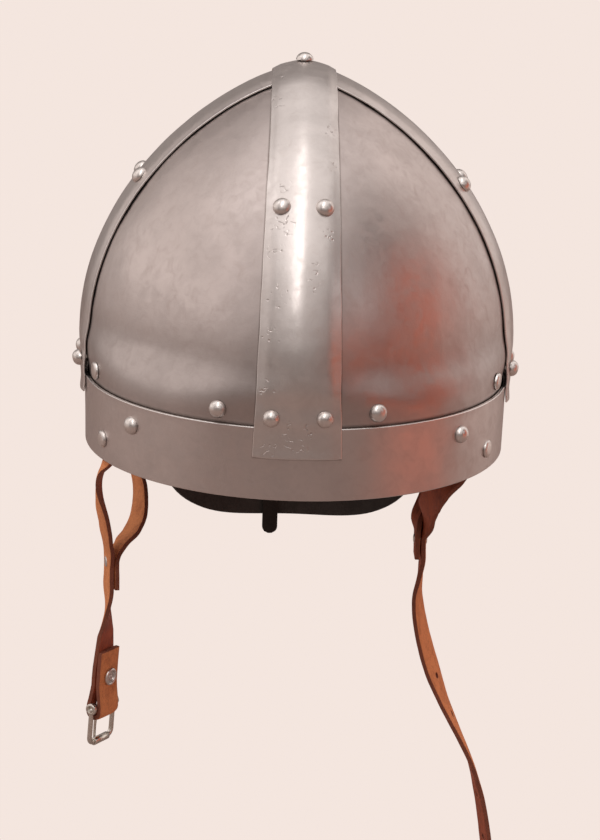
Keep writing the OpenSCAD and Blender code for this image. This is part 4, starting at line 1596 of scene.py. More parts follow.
@dataclass
class Liner:
    """The leather inside: head band, tongues, lace, nape flap and thong."""

    finishes: Finishes
    out: float = -2.1
    t: float = 2.0
    low_z: float = 28.0
    top_z: float = 50.0
    rise: float = 84.0
    tip_half: float = 24.0
    share: float = 0.82
    tip_share: float = 0.9
    tongues: int = 8
    steps: tuple[int, int, int, int] = (14, 4, 8, 22)
    lace_r: float = 0.9
    lace_wave: float = 4.0
    lace_at: float = 0.86
    lace_steps: int = 240
    slot_turn: float = 8.0
    flap_out: float = -4.45
    flap_t: float = 2.0
    flap_half: float = 76.0
    flap_drop: float = 68.5
    flap_top: float = 43.0
    flap_power: float = 3.65
    flap_steps: tuple[int, int] = (60, 34)
    hang: Thong = Thong()
    edge_round: float = 0.5
    thong_round: float = 0.3

    def tongue_line(self, t: float) -> tuple[float, float]:
        """Half width and height of a tongue's outer face.

        Args:
            t: Share of its length.

        Returns:
            (half width, height).
        """
        root = DOME.half(self.top_z) + self.out
        c, s = degrees(90 * t)
        return self.tip_half + (root - self.tip_half) * c, self.top_z + self.rise * s**1.1

    def column(self, j: int, share: float) -> float:
        """Plan angle of a column of the liner.

        Args:
            j: Number of the column.
            share: Share of the sector that a tongue fills here.

        Returns:
            The angle in degrees.
        """
        cols, gaps = self.steps[:2]
        k, c = divmod(j, cols + gaps)
        sector = 360 / self.tongues
        if c <= cols:
            return sector * (k + 0.5) + sector * share * (c / cols - 0.5)
        start = sector * (k + 0.5) + sector * share / 2
        return mix(start, sector * (k + 1.5) - sector * share / 2, (c - cols) / gaps)

    def liner_point(self, j: int, i: int, d: float) -> Vector:
        """A point of the liner.

        Args:
            j: Number of the column.
            i: Number of the row.
            d: Offset from the panels' face.

        Returns:
            The point.
        """
        low_rows, high_rows = self.steps[2:]
        if i <= low_rows:
            z = mix(self.low_z, self.top_z, i / low_rows)
            return DOME.lifted(DOME.at_angle(self.column(j, self.share), z), d)
        t = (i - low_rows) / high_rows
        half, z = self.tongue_line(t)
        c, s = degrees(self.column(j, self.share * mix(1, self.tip_share, t)))
        power = DOME.plan_power(z)
        r = half * (abs(c) ** power + abs(s) ** power) ** (-1 / power)
        ct, st = degrees(90 * t)
        return Vector((r * c, DOME.plan_k * r * s, z)) + Vector((c * ct, s * ct, st)) * (d - self.out)

    def ring(self) -> None:
        """Builds the head band and its tongues in one piece."""
        cols, gaps, low_rows, high_rows = self.steps
        per = cols + gaps
        n, m = per * self.tongues, low_rows + high_rows

        def at(u: float, v: float, d: float) -> Vector:
            """A point at offset d from the panels' face."""
            return self.liner_point(round(u * n), round(v * m), d)

        us, vs = [i / n for i in range(n + 1)], [i / m for i in range(m + 1)]
        bm = grid(us, vs, lambda u, v: at(u, v, self.out), True)
        u_layer, v_layer = grid_layers(bm)
        between = []
        for face in bm.faces:
            row = sum(v[v_layer] for v in face.verts) / 4 * m
            if row > low_rows and column_of(face, u_layer, n) % per >= cols:
                between.append(face)
        bmesh.ops.delete(bm, geom=between, context="FACES")
        thicken(bm, lambda v: at(v[u_layer], v[v_layer], self.out - self.t))
        soften(bm, self.edge_round)
        self.close(bm, "liner", "liner leather", self.finishes.black[:1])

    def lace(self) -> None:
        """Builds the lace that draws the tongues together."""
        half, z0 = self.tongue_line(self.lace_at)
        z0 -= self.t / 2
        power = DOME.ridge_power
        points = []
        for i in range(self.lace_steps):
            a = 360 * i / self.lace_steps
            c, s = degrees(a)
            r = half * (abs(c) ** power + abs(s) ** power) ** (-1 / power)
            lift = -degrees(self.tongues * a)[0] - degrees(self.tongues * self.slot_turn)[0]
            points.append(Vector((r * c, DOME.plan_k * r * s, z0 + self.lace_wave * lift)))
        bm = tube(points, 10, lambda v, u: self.lace_r, closed=True)
        self.close(bm, "liner_lace", "lace", [self.finishes.lace])

    def flap_edge(self, x: float) -> float:
        """Height of the flap's rounded outline at an x."""
        inside = 1 - (abs(x) / self.flap_half) ** self.flap_power
        return self.flap_top - (self.flap_top + self.flap_drop) * inside ** (1 / self.flap_power)

    def flap(self) -> None:
        """Builds the nape flap."""

        def at(u: float, v: float, d: float) -> Vector:
            """Gives a point of the flap.

            Args:
                u: Share across.
                v: Share from the lower edge up.
                d: Offset from the panels' face.

            Returns:
                The point.
            """
            x = 0.985 * self.flap_half * math.sin(math.pi / 2 * (2 * u - 1))
            z = mix(self.flap_edge(x), self.flap_top, v)
            p = DOME.rear_point(x, z)
            return DOME.lifted(p, d + 0.25 * wave(p, 30.0, 2.0) * ease(-z / 20))

        across, up = self.flap_steps
        us = [i / across for i in range(across + 1)]
        bm = grid(us, edge_stops(up, 110, 0.5), lambda u, v: at(u, v, self.flap_out))
        u_layer, v_layer = grid_layers(bm)
        thicken(bm, lambda v: at(v[u_layer], v[v_layer], self.flap_out - self.flap_t))
        soften(bm, self.edge_round)
        self.close(bm, "nape_flap", "nape flap leather", self.finishes.black)

    def thong(self) -> None:
        """Builds the thong that hangs under the flap."""
        hang = self.hang
        p = DOME.rear_point(hang.x, 0)
        n = DOME.normal(p)
        side = Vector((0, 0, 1)).cross(n).normalized()
        base = p + n * (self.flap_out - self.flap_t - hang.gap - hang.half_seat)

        def at(u: float, v: float, d: float) -> Vector:
            """A point at depth d from the thong's middle."""
            z = mix(hang.top_z, hang.tip_z, v)
            return base + side * (2 * u - 1) * hang.half_at(z) + Vector((0, 0, z)) + n * d

        us, vs = [[i / steps for i in range(steps + 1)] for steps in hang.steps]
        bm = grid(us, vs, lambda u, v: at(u, v, hang.half_t))
        u_layer, v_layer = grid_layers(bm)
        thicken(bm, lambda v: at(v[u_layer], v[v_layer], -hang.half_t))
        soften(bm, self.thong_round)
        self.close(bm, "nape_thong", "thong", [self.finishes.lace])

    def close(
        self, bm: BMesh, node: str, name: str, materials: Sequence[Material]
    ) -> None:
        """Makes a mesh a piece of the helmet in place of a node."""
        settle(bm, name, node, materials, crease=60)

    def build(self) -> None:
        """Builds the pieces of black leather."""
        self.ring()
        self.lace()
        self.flap()
        self.thong()


# Chin straps


@dataclass(frozen=True)
class Stop:
    """A station of a strap: its middle, its direction and the way of its width."""

    at: Vector
    ahead: Vector
    across: Vector
    run: float

    @property
    def out(self) -> Vector:
        """Direction of the strap's flesh side."""
        return self.ahead.cross(self.across)


class Route:
    """A leather strap's middle line, smoothed through [x, y, z, turn] points."""

    def __init__(
        self, points: Sequence[Sequence[float]], steps: int = 8, tail: Sequence[Sequence[float]] = ()
    ) -> None:
        """Smooths the points.

        Args:
            points: The points, with the turn of the width in degrees.
            steps: Number of steps from one to the next.
            tail: More points, kept as they are.
        """
        line = [*self.smooth(points, steps), *[tuple(q) for q in tail]]
        last = len(line) - 1
        self.stops: list[Stop] = []
        run = 0.0
        for i, q in enumerate(line):
            here = Vector(q[:3])
            ahead = Vector(line[min(i + 1, last)][:3]) - Vector(line[max(i - 1, 0)][:3])
            ahead.normalize()
            c, s = degrees(q[3])
            flat = Vector((c, s, 0))
            across = (flat - ahead * flat.dot(ahead)).normalized()
            if i:
                run += (here - self.stops[-1].at).length
            self.stops.append(Stop(here, ahead, across, run))

    @staticmethod
    @staticmethod
    def smooth(route: Sequence[Sequence[float]], steps: int) -> list[tuple[float, ...]]:
        """Puts a smooth curve through a route.

        Args:
            route: Its points.
            steps: Number of steps from one to the next.

        Returns:
            Points of the curve.
        """
        first = [2 * a - b for a, b in zip(route[0], route[1])]
        last = [2 * a - b for a, b in zip(route[-1], route[-2])]
        ends = [first, *route, last]
        line = []
        for i in range(len(route) - 1):
            four = list(zip(*ends[i:i + 4]))
            for k in range(steps):
                t = k / steps
                line.append(tuple(curve(*values, t) for values in four))
        line.append(tuple(route[-1]))
        return line

    @property
    def length(self) -> float:
        """Length of the line."""
        return self.stops[-1].run

    def back_from_end(self, s: float) -> Stop:
        """The station a length before the end."""
        return min(self.stops, key=lambda stop: abs(stop.run - (self.length - s)))


@dataclass
class StrapMaker:
    """Makes strips of thick leather with rough cut edges."""

    finishes: Finishes
    w: float = 15.0
    t: float = 2.5
    edge_round: float = 0.55
    fuzz: float = 0.16
    bow: float = 0.12
    point_l: float = 14.0
    steps: tuple[int, int] = (10, 5)
    end_round: float = 0.25

    def tip(self, left: float) -> float:
        """Half width's share at a length from a pointed end."""
        return mix(0.12, 1.0, limit(left / self.point_l) ** 0.62)

    def section(self) -> list[tuple[float, float, Face]]:
        """The strip's section.

        Returns:
            (share of the half width, share of the half thickness, surface) round it.
        """
        face, edge = self.steps
        corners = ((1, 1, Face.FLESH), (-1, 1, Face.EDGE), (-1, -1, Face.GRAIN), (1, -1, Face.EDGE))
        points = []
        for a, b, surface in corners:
            across = surface is not Face.EDGE
            steps = face if across else edge
            for i in range(steps):
                turn = 1 - 2 * i / steps
                points.append((a * turn, float(b), surface) if across else (float(a), b * turn, surface))
        return points

    def strip(self, route: Route, name: str, pointed: bool = False) -> bpy.types.Object:
        """Makes a strip along a route.

        Args:
            route: Its middle line.
            name: Name of the object, which also gives it its own unevenness.
            pointed: Whether its end is cut to a point.

        Returns:
            The strip, not yet on a body.
        """
        section = self.section()
        n, m = len(section), len(route.stops) - 1
        seed = sum(ord(c) for c in name) % 50

        def place(u: float, v: float) -> Vector:
            """Gives a point round the section.

            Args:
                u: Share of the way round.
                v: Share of the route.

            Returns:
                The point.
            """
            stop = route.stops[round(v * m)]
            a, b, _ = section[round(u * n) % n]
            p, across = stop.at, stop.across
            half = self.w / 2 * (self.tip(route.length - stop.run) if pointed else 1.0)
            thick = self.t / 2 * (1 + 0.05 * wave(p, 12.0, seed))
            rim = limit((abs(a) - 0.9) / 0.1)
            torn = wave(p + across * 9 * a, 3.1, seed) + 0.6 * wave(p, 1.3, seed + a + b)
            rounded = self.edge_round * 0.55 * (b * b if rim == 1 else 0)
            side = a * (half + self.fuzz * rim * torn - rounded)
            out = b * (thick - self.edge_round * 0.5 * rim) + self.bow * (1 - a * a)
            return p + across * side + stop.out * (out + 0.14 * wave(p + across * 4 * a, 8.0, seed + 3))

        bm = grid([i / n for i in range(n + 1)], [i / m for i in range(m + 1)], place, ring=True)
        u_layer, _ = grid_layers(bm)
        edge_layer = bm.verts.layers.float.new("edge")
        for vert in bm.verts:
            vert[edge_layer] = (1 - abs(section[round(vert[u_layer] * n) % n][0])) * self.w / 2
        for face in bm.faces:
            face.material_index = section[column_of(face, u_layer, n)][2].value
        made = bmesh.ops.holes_fill(bm, edges=[e for e in bm.edges if e.is_boundary], sides=0)
        for face in made["faces"]:
            face.material_index = Face.EDGE.value
        turn_outward(bm)
        bevel(bm, [e for f in made["faces"] for e in f.edges], self.end_round)
        return finish_mesh(bm, name, self.finishes.straps, 50)

    def cut(self, obj: bpy.types.Object, tool: BMesh) -> None:
        """Cuts a tool's solid out of a strip; the walls get the cut edge's leather.

        Args:
            obj: The strip.
            tool: The solid, which is used up.
        """
        for face in tool.faces:
            face.material_index = Face.EDGE.value
        knife = finish_mesh(tool, "knife", self.finishes.straps)
        step = obj.modifiers.new("cut", "BOOLEAN")
        step.object = knife
        step.operation = "DIFFERENCE"
        step.solver = "EXACT"
        bpy.context.view_layer.update()
        graph = bpy.context.evaluated_depsgraph_get()
        done = obj.evaluated_get(graph)
        mesh = bpy.data.meshes.new_from_object(done, preserve_all_data_layers=True, depsgraph=graph)
        obj.modifiers.clear()
        obj.data = mesh
        bpy.data.objects.remove(knife)

    def hole(self, obj: bpy.types.Object, stop: Stop, radius: float) -> None:
        """Punches a round hole through a strip.

        Args:
            obj: The strip.
            stop: The station of the hole.
            radius: The hole's radius.
        """
        bm = bmesh.new()
        bmesh.ops.create_cone(
            bm, cap_ends=True, segments=24, radius1=radius, radius2=radius, depth=5 * self.t,
            matrix=Matrix.Translation(stop.at) @ upright(stop.out),
        )
        self.cut(obj, bm)


def tab_route(side: Side, end: End, turn: float, lean: float = 0.5, inward: float = 0.0) -> list[list[float]]:
    """The strap's end inside the band, from above the rivet to the rim.

    Args:
        side: Its side of the helmet.
        end: Its end of the helmet.
        turn: Turn of the width in degrees that its own turn is kept close to.
        lean: How far it leans toward the middle for each millimetre down.
        inward: How far it leaves the panel for each millimetre down.

    Returns:
        [x, y, z, turn] points.
    """
    tab_mid, tab_heights = -1.75, (13.7, CHIN_RIVET_Z, 2.5)
    rivet_y = DOME.at_angle(CHIN_RIVET_ANGLE, CHIN_RIVET_Z).y
    route = []
    for z in tab_heights:
        drop = max(0.0, CHIN_RIVET_Z - z)
        y = rivet_y - lean * drop
        p = Vector((side.value * DOME.x_at(y, z), end.value * y, z))
        n = DOME.normal(p)
        q = p + n * (tab_mid - inward * drop)
        a = math.degrees(math.atan2(-n.x, n.y))
        route.append([q.x, q.y, q.z, a - 180 * round((a - turn) / 180)])
    return route


class Along(Enum):
    """Directions that a piece of the buckle can stand along."""

    STRAP = "up the strap"
    BAR = "along the heel bar"
    OUTWARD = "out of the folded end"


@dataclass
class Heel:
    """The buckle's own directions at the middle of its heel bar."""

    at: Vector = Vector((-89.6, 0.6, -138.5))
    turn: float = 58.0
    swing: float = 4.0

    @property
    def w(self) -> Vector:
        """Along the heel bar."""
        c, s = degrees(self.turn)
        return Vector((c, s, 0))

    @property
    def v(self) -> Vector:
        """Depth, away from the folded end."""
        c, s = degrees(self.turn)
        ct, st = degrees(self.swing)
        return Vector((-s * ct, c * ct, st))

    @property
    def u(self) -> Vector:
        """Up the strap."""
        return self.w.cross(self.v)

    def point(self, w: float, v: float, u: float) -> Vector:
        """A point given in the buckle's directions."""
        return self.at + self.w * w + self.v * v + self.u * u

    def matrix(
        self, w: float = 0.0, v: float = 0.0, u: float = 0.0, along: Along = Along.STRAP
    ) -> Matrix:
        """A matrix at a point of the buckle.

        Args:
            w: Place along the heel bar.
            v: Depth.
            u: Place up the strap.
            along: Direction of its Z.

        Returns:
            The matrix.
        """
        axes = {Along.STRAP: (self.u, self.w), Along.BAR: (self.w, self.u), Along.OUTWARD: (-self.v, self.w)}
        z, x = axes[along]
        turn = Matrix((x, z.cross(x), z)).transposed().to_4x4()
        return Matrix.Translation(self.point(w, v, u)) @ turn


HEEL = Heel()


@dataclass
class ChinStraps:
    """The left strap with its fold and rivets, and the long right strap."""

    finishes: Finishes
    left_bend_x: float = -88.0
    right_bend_x: float = 79.2
    right_axis_x: float = 83.4
    bend_z: float = -4.4
    blend_z: tuple[float, float] = (1.0, -10.0)
    left_x: float = -87.4
    left_turn: float = 14.0
    right_x: float = 64.2
    layer: float = 2.9
    pair_v: float = 1.4
    fold_r: float = 3.25
    fold_drop: float = 1.3
    fold_l: float = 29.5
    loop_u: float = 16.0
    slot_at: tuple[float, float, float] = (0.0, 4.2, -1.5)
    slot_size: tuple[float, float, float] = (4.2, 10.0, 13.0)
    left_rivet_z: float = -64.5
    right_rivet_z: float = -49.0
    joint_head: Head = Head(2.7, 0.75, 2.6)
    loop_shank: float = 1.5
    loop_low: float = -5.9
    hole_r: float = 1.5
    first_hole: float = 35.0
    hole_step: float = 22.0
    hole_count: int = 5

    def __post_init__(self) -> None:
        """Takes a strip maker."""
        self.maker = StrapMaker(self.finishes)

    def fold(self) -> list[list[float]]:
        """The strap's run down to the heel bar, round it and up again.

        Returns:
            [x, y, z, turn] points.
        """
        pair = self.pair_v
        knee = mix(pair, self.fold_r, 0.6)
        low = [(pair, self.loop_u), (pair, self.loop_u - 4), (mix(pair, knee, 0.5), 8.4), (knee, 5),
               (mix(knee, self.fold_r, 0.8), 2)]
        down = [(pair, self.fold_l - 8), (pair, self.loop_u + 5), *low]
        arc = []
        for a in range(0, -181, -12):
            c, s = degrees(a)
            arc.append((self.fold_r * c, self.fold_r * s - self.fold_drop))
        up = [(-v, u) for v, u in reversed(low)] + [(-pair, 21), (-pair, 26.5), (-pair, self.fold_l)]
        return [[*HEEL.point(0, v, u), HEEL.turn - 180] for v, u in [*down, *arc, *up]]

    def left_main(self) -> None:
        """Builds the left strap's front length with the fold at the buckle."""
        route = Route([
            *tab_route(Side.LEFT, End.FRONT, -76),
            [self.left_bend_x, -43.5, self.bend_z, -95], [-90.3, -36.5, -15.5, -88], [-89.4, -25, -32.3, -73],
            [-88.3, -14, -46.3, -74], [-87.6, -4.6, -56.3, -76],
            *[[self.left_x, 0, z, -76] for z in (-64, -72, -80)],
            [-87.8, 0, -92, -94], [-88.6, 0, -101, -110],
        ], 8, self.fold())
        obj = self.maker.strip(route, "left strap leather")
        place = HEEL.matrix(*self.slot_at) @ Matrix.Diagonal((*self.slot_size, 1.0))
        tool = bmesh.new()
        bmesh.ops.create_cube(tool, size=1.0, matrix=place)
        self.maker.cut(obj, tool)
        self.bent(obj, "left_strap", self.left_bend_x, "left_chin_strap")

    def left_rear(self) -> None:
        """Builds the left strap's rear branch."""
        c, s = degrees(self.left_turn)
        x, y = self.left_x + self.layer * c, self.layer * s
        route = Route([
            *tab_route(Side.LEFT, End.REAR, -104),
            [self.left_bend_x, 43, self.bend_z, -98], [-81, 35.5, -17, -80], [-75.4, 26.3, -28.9, -70],
            [-73.6, 19.8, -37, -69], [-74.2, 13.4, -45.2, -69], [-76.9, 7.8, -51, -73],
            [-81.4, 2.6, -56, -78],
            *[[x, y, z, -76] for z in (-61.8, -70.2, -77.2)],
        ])
        obj = self.maker.strip(route, "left branch leather")
        self.bent(obj, "left_strap", self.left_bend_x, "left_strap_branch", "left_strap_ends")

    def right_main(self) -> None:
        """Builds the right strap's front branch and its long free length."""
        route = Route([
            *tab_route(Side.RIGHT, End.FRONT, 70, 0.62, 0.3),
            [self.right_bend_x, -42.5, self.bend_z, 98], [72.2, -35, -12.4, 108], [67, -24.5, -20.9, 113],
            [64.8, -14, -30.6, 108], [64.9, -5.4, -38.5, 98],
            *[[self.right_x, 0, z, 90] for z in (-45, -52, -59)],
            [63.3, 0, -68, 83], [62.6, 0, -79.5, 74], [65.2, 0, -95, 69], [71, 0, -114.5, 67],
            [77.9, 0, -132, 78], [86.3, 0, -150, 89], [92.6, 0, -164, 94], [97.6, 0, -182, 101],
            [101, 0, -200, 103], [103.1, 0, -218, 103], [104.1, 0, -236, 103],
        ])
        obj = self.maker.strip(route, "right strap leather", True)
        for i in range(self.hole_count):
            self.maker.hole(obj, route.back_from_end(self.first_hole + i * self.hole_step), self.hole_r)
        self.bent(obj, "right_strap", self.right_axis_x, "right_chin_strap")

    def right_rear(self) -> None:
        """Builds the right strap's rear branch."""
        x = self.right_x - self.layer
        route = Route([
            *tab_route(Side.RIGHT, End.REAR, 104, 0.5, 0.3),
            [self.right_bend_x, 45.5, self.bend_z, 98], [76, 35, -13.5, 98], [70.4, 23.5, -23, 101],
            [65.8, 12.6, -32, 101], [62, 4, -39, 95],
            *[[x, 0, z, 90] for z in (-46, -52, -57.6)],
        ])
        obj = self.maker.strip(route, "right branch leather")
        self.bent(obj, "right_strap", self.right_axis_x, "right_strap_branch", "right_strap_ends")

    def bent(self, obj: bpy.types.Object, body: str, x: float, *nodes: str) -> None:
        """Lets a strip bend below the rim, in place of its nodes.

        Args:
            obj: The strip.
            body: The strap's body.
            x: Place of its axis.
            nodes: The CAD nodes that it stands for.
        """
        start, end = [(x * MM, 0, z * MM) for z in self.blend_z]
        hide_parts(*nodes)
        log.info("%s from helmet to %s", obj.name, body)
        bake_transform(obj, "helmet", body, start, end)

    def joint_rivet(self, node: str, body: str, at: Vector, turn: float) -> None:
        """Builds the small flat rivet that joins a strap's branches.

        Args:
            node: CAD node that it stands for.
            body: Body that it rides on.
            at: Middle of the outer strip.
            turn: Direction of its head in the plan, in degrees.
        """
        low, high, shank, peen = -5.5, 0.05, 1.5, (2.3, 0.6)
        out = Vector((*degrees(turn), 0))
        place = standing(at + out * (self.maker.t / 2), out)
        bm = bmesh.new()
        turned(bm, self.joint_head.profile(low, high, shank, peen), place)
        self.metal(bm, node, body)

    def loop_rivet(self) -> None:
        """Builds the ring-headed rivet through the folded end."""
        low, shank = self.loop_low, self.loop_shank
        outline = [(0.0, low - 1.1), (1.5, -6.8), (2.6, -6.3), (3.0, low)]
        outline += [(shank, low), (shank, 0.05), (3.7, 0.0)]
        for a in range(-80, 181, 20):
            c, s = degrees(a)
            outline.append((3.6 + 0.8 * c, 0.85 + 0.8 * s))
        outline += [(2.5, 0.25), (1.3, 0.15), (1.15, 0.2), (1.1, 0.6), (0.85, 0.95), (0.45, 1.1), (0.0, 1.15)]
        bm = bmesh.new()
        turned(bm, outline, HEEL.matrix(0, -self.pair_v - 1.35, self.loop_u, Along.OUTWARD))
        self.metal(bm, "loop_rivet", "left_strap")

    def metal(self, bm: BMesh, node: str, body: str) -> None:
        """Makes a turned mesh a rivet on a strap."""
        turn_outward(bm)
        settle(bm, f"{node} turned", node, [self.finishes.rivet], body)

    def build(self) -> None:
        """Builds both straps and their rivets."""
        self.left_main()
        self.left_rear()
        self.right_main()
        self.right_rear()
        left = Vector((self.left_x, 0, self.left_rivet_z))
        right = Vector((self.right_x, 0, self.right_rivet_z))
        self.joint_rivet("left_joint_rivet", "left_strap", left, 180 + self.left_turn)
        self.joint_rivet("right_joint_rivet", "right_strap", right, 0)
        self.loop_rivet()


# Buckle


@dataclass
class Buckle:
    """The wire frame, its roller and its prong, in the heel bar's directions."""

    finishes: Finishes
    bar_w: float = 9.1
    length: float = 17.6
    wire: float = 1.2
    far_corner: float = 3.0
    heel_corner: float = 0.9
    corner_steps: int = 8
    wire_step: float = 1.2
    collar: float = 2.9
    collar_half: float = 1.25
    collar_dip: float = 1.2
    heel_up: float = 0.45
    roller_r: float = 1.9
    roller_half: float = 5.8
    roller_gap: float = 0.07
    prong_r: float = 1.0
    prong_past: float = 2.6
    prong_steps: int = 21
    eye_r: float = 2.27

    def frame_path(self) -> list[Vector]:
        """The middle line of the frame's wire.

        Returns:
            Its points, evenly spaced.
        """
        corners = (
            (self.bar_w, self.heel_up, self.heel_corner), (-self.bar_w, self.heel_up, self.heel_corner),
            (-self.bar_w, -self.length, self.far_corner), (self.bar_w, -self.length, self.far_corner),
        )
        bends: list[Vector] = []
        for k, (w, u, r) in enumerate(corners):
            for i in range(self.corner_steps + 1):
                c, s = degrees(90 * k + 90 * i / self.corner_steps)
                w0 = w - math.copysign(r, w)
                u0 = u + (r if k > 1 else -r)
                bends.append(HEEL.point(w0 + r * c, 0, u0 + r * s))
        path: list[Vector] = []
        for p, q in zip(bends, [*bends[1:], bends[0]]):
            steps = max(1, round((q - p).length / self.wire_step))
            path += [p.lerp(q, k / steps) for k in range(steps)]
        return path

    def collar_outline(self) -> list[tuple[float, float]]:
        """A collar's outline, with a hollow in one face.

        Returns:
            (radius, height) points.
        """
        half, dip, r, lip = self.collar_half, self.collar_dip, self.collar, 0.4
        return [
            (0.0, dip - half), (dip, dip - half), (dip + 0.3, lip - half), (dip + 0.6, -half),
            (r - lip, -half), (r, lip - half), (r, half - lip), (r - lip, half), (0.0, half),
        ]

    def frame_wire(self) -> None:
        """Builds the wire loop with its collars."""

        def thickness(v: float, u: float) -> float:
            """Radius at share v of the wire, a little uneven."""
            return self.wire * (1 + 0.015 * math.sin(40 * v))

        bm = tube(self.frame_path(), 20, thickness, closed=True, up=HEEL.v)
        ring = self.collar_outline()
        for side in Side:
            outline = ring if side is Side.LEFT else [(r, -z) for r, z in reversed(ring)]
            turned(bm, outline, HEEL.matrix(side.value * self.bar_w, 0, self.heel_up, Along.BAR), 32)
        turn_outward(bm)
        self.close(bm, "buckle_frame", "buckle")

    def roller(self) -> None:
        """Builds the hollow roller on the far bar."""
        inner, outer, half, lip = self.wire + self.roller_gap, self.roller_r, self.roller_half, 0.2
        outline = [
            (inner, -half), (outer - lip, -half), (outer, -half + lip), (outer, half - lip),
            (outer - lip, half), (inner, half), (inner, -half),
        ]
        bm = bmesh.new()
        turned(bm, outline, HEEL.matrix(0, 0, -self.length, Along.BAR))
        turn_outward(bm)
        self.close(bm, "buckle_roller", "roller")

    def prong(self) -> None:
        """Builds the prong: a wire hooked round the heel bar, bent to the far bar."""
        path = []
        for a in range(-150, 91, 12):
            c, s = degrees(a)
            path.append(HEEL.point(0, self.eye_r * s, self.eye_r * c))
        rest = self.roller_r + self.prong_r + 0.1
        for i in range(1, self.prong_steps + 1):
            t = i / self.prong_steps
            u = -(self.length + self.prong_past) * t
            v = mix(self.eye_r, rest + 0.25, t) + 0.9 * math.sin(math.pi * t) * (1 - 0.4 * t)
            path.append(HEEL.point(0, v, u))
        n = len(path)

        def thickness(v: float, u: float) -> float:
            """Radius at share v of the path, thinner toward the tip."""
            return self.prong_r * mix(1.0, 0.62, ease(v * n / (n - 8) - 0.25))

        self.close(tube(path, 16, thickness, up=HEEL.w), "buckle_prong", "prong")

    def close(self, bm: BMesh, node: str, body: str) -> None:
        """Makes a mesh a piece of the buckle."""
        settle(bm, f"{node} wire", node, [self.finishes.wire], body)

    def build(self) -> None:
        """Builds the buckle's three pieces."""
        self.frame_wire()
        self.roller()
        self.prong()


# Studio


@dataclass(frozen=True)
class Lamp:
    """A soft rectangular lamp that faces the helmet, in metres and watts."""

    name: str
    at: tuple[float, float, float]
    size: tuple[float, float]
    power: float
    colour: Colour


LAMPS = (
    Lamp("ceiling", (0, -0.3, 2.1), (3.4, 3.4), 25, (1, 0.97, 0.955)),
    Lamp("roof window", (-0.2, -0.95, 1.7), (0.55, 2.5), 8.6, (1, 0.98, 0.97)),
    Lamp("front wall", (0, -2.1, 1.05), (3.2, 0.8), 4.0, (1, 0.95, 0.93)),
    Lamp("left wall", (-1.7, 0.35, 0.85), (1.9, 1.4), 5.2, (1, 0.93, 0.89)),
    Lamp("left window", (-1.28, -0.05, 1.58), (0.6, 0.9), 1.6, (1, 0.96, 0.95)),
    Lamp("left front wall", (-1.45, -0.77, 0.85), (0.7, 0.9), 1.2, (1, 0.93, 0.91)),
    Lamp("left lower wall", (-1.5, 0.1, 0.2), (2.6, 0.8), 1.4, (1, 0.92, 0.88)),
    Lamp("low left wall", (-0.9, 0.05, -0.09), (1.5, 0.3), 0.28, (1, 0.9, 0.85)),
    Lamp("right wall", (1.38, 1.07, 0.8), (1.5, 1.5), 4.6, (1, 0.91, 0.86)),
    Lamp("right window", (1.16, 0.72, 1.5), (0.8, 0.7), 0.8, (1, 0.93, 0.9)),
    Lamp("low right wall", (0.82, 0.45, -0.07), (0.75, 0.32), 0.4, (1, 0.86, 0.8)),
    Lamp("right front wall", (1.39, -0.74, 0.7), (0.5, 0.75), 0.85, (1, 0.93, 0.92)),
    Lamp("wooden door", (0.85, -0.03, 0.23), (0.36, 0.46), 0.31, (1, 0.14, 0.024)),
    Lamp("wooden door sill", (0.8, -0.25, -0.1), (0.44, 0.28), 0.2, (1, 0.13, 0.02)),
    Lamp("door frame", (0.67, -0.54, 0.06), (0.13, 0.5), 0.14, (1, 0.15, 0.028)),
)


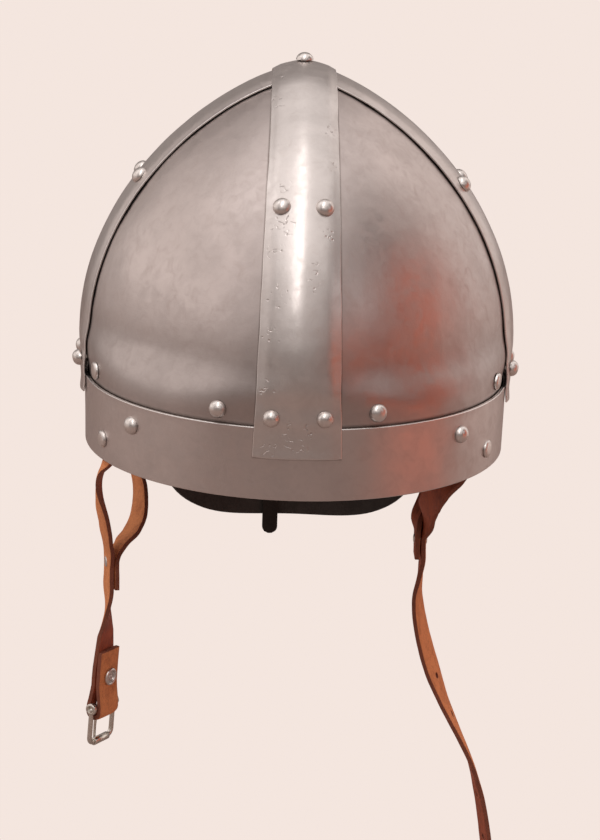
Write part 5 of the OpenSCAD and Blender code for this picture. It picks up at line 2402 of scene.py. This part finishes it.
@dataclass
class Studio:
    """Camera, lights, floor and surroundings."""

    eye: Vector = field(default_factory=lambda: Vector((-21.31, -1315.57, 338.01)))
    target: Vector = field(default_factory=lambda: Vector((2.96, -0.05, 8.38)))
    lens: float = 121.54
    film: float = 36.0
    roll: float = 1.774
    lamps_aim: Vector = field(default_factory=lambda: Vector((0, 0, 0.05)))
    floor_z: float = -250.0
    floor_half: float = 6000.0
    floor_colour: Colour = (0.36, 0.28, 0.25)
    paper: Colour = (0.905, 0.79, 0.735)
    air: Colour = (0.62, 0.55, 0.52)
    air_strength: tuple[float, float] = (0.5, 0.12)
    dark_corner: tuple[float, float, float] = (1.0, -0.3, 0.05)
    dark_reach: tuple[float, float] = (0.7, 0.95)

    def camera(self) -> None:
        """Sets the camera that was fitted to the photo."""
        data = bpy.data.cameras.new("camera")
        data.lens = self.lens
        data.sensor_fit = "VERTICAL"
        data.sensor_height = self.film
        data.clip_start, data.clip_end = 0.01, 50
        obj = bpy.data.objects.new("camera", data)
        bpy.context.scene.collection.objects.link(obj)
        forward = (self.target - self.eye).normalized()
        right = forward.cross(Vector((0, 0, 1))).normalized()
        up = right.cross(forward)
        c, s = degrees(self.roll)
        turned_right, turned_up = right * c + up * s, up * c - right * s
        basis = Matrix((turned_right, turned_up, -forward)).transposed().to_4x4()
        obj.matrix_world = Matrix.Translation(self.eye * MM) @ basis
        bpy.context.scene.camera = obj

    def lamp(self, lamp: Lamp) -> None:
        """Adds a lamp.

        Args:
            lamp: The lamp.
        """
        data = bpy.data.lights.new(lamp.name, "AREA")
        data.shape = "RECTANGLE"
        data.size, data.size_y = lamp.size
        data.energy = lamp.power
        data.color = lamp.colour
        obj = bpy.data.objects.new(lamp.name, data)
        bpy.context.scene.collection.objects.link(obj)
        place = Vector(lamp.at)
        obj.matrix_world = Matrix.Translation(place) @ upright(place - self.lamps_aim)

    def floor(self) -> None:
        """Adds the pale floor; it shows the paper's plain colour."""
        bm = bmesh.new()
        bmesh.ops.create_grid(bm, x_segments=1, y_segments=1, size=self.floor_half)
        bmesh.ops.translate(bm, vec=(0, 0, self.floor_z), verts=list(bm.verts))
        s = Shader("floor paper")
        s.put(s.surface.inputs["Base Color"], self.floor_colour)
        s.surface.inputs["Roughness"].default_value = 0.9
        glow = s.node("Emission", Color=self.paper)
        pick = s.node("MixShader")
        s.link(s.node("LightPath").outputs["Is Camera Ray"], pick.inputs[0])
        s.link(s.surface.outputs[0], pick.inputs[1])
        s.link(glow.outputs[0], pick.inputs[2])
        s.link(pick.outputs[0], s.out.inputs[0])
        finish_mesh(bm, "floor", [s.material])

    def surroundings(self) -> None:
        """Sets the plain world: the paper's colour to the camera, softer to the rest."""
        world = bpy.data.worlds.new("studio")
        bpy.context.scene.world = world
        world.use_nodes = True
        nodes, links = world.node_tree.nodes, world.node_tree.links
        nodes.clear()
        seen = nodes.new("ShaderNodeBackground")
        seen.inputs["Color"].default_value = (*self.paper, 1)
        lit = nodes.new("ShaderNodeBackground")
        lit.inputs["Color"].default_value = (*self.air, 1)
        toward = nodes.new("ShaderNodeVectorMath")
        toward.operation = "DOT_PRODUCT"
        toward.inputs[1].default_value = Vector(self.dark_corner).normalized()
        links.new(nodes.new("ShaderNodeTexCoord").outputs["Generated"], toward.inputs[0])
        dim = nodes.new("ShaderNodeMapRange")
        dim.interpolation_type = "SMOOTHSTEP"
        ends = ("From Min", "From Max", "To Min", "To Max")
        for name, value in zip(ends, self.dark_reach + self.air_strength):
            dim.inputs[name].default_value = value
        links.new(toward.outputs["Value"], dim.inputs["Value"])
        links.new(dim.outputs[0], lit.inputs["Strength"])
        pick = nodes.new("ShaderNodeMixShader")
        links.new(nodes.new("ShaderNodeLightPath").outputs["Is Camera Ray"], pick.inputs[0])
        links.new(lit.outputs[0], pick.inputs[1])
        links.new(seen.outputs[0], pick.inputs[2])
        links.new(pick.outputs[0], nodes.new("ShaderNodeOutputWorld").inputs[0])

    def build(self) -> None:
        """Sets the whole studio."""
        bpy.context.scene.view_settings.view_transform = "Standard"
        self.camera()
        self.floor()
        self.surroundings()
        for lamp in LAMPS:
            self.lamp(lamp)
        log.info("studio: camera, floor, %d lamps", len(LAMPS))


def main() -> None:
    """Builds every piece in order."""
    logging.basicConfig(level=logging.INFO, format="%(message)s")
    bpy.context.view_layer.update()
    finishes = Finishes()
    Plates(finishes).build()
    Rivets(finishes).build()
    Liner(finishes).build()
    ChinStraps(finishes).build()
    Buckle(finishes).build()
    Studio().build()


if __name__ == "__main__":
    main()
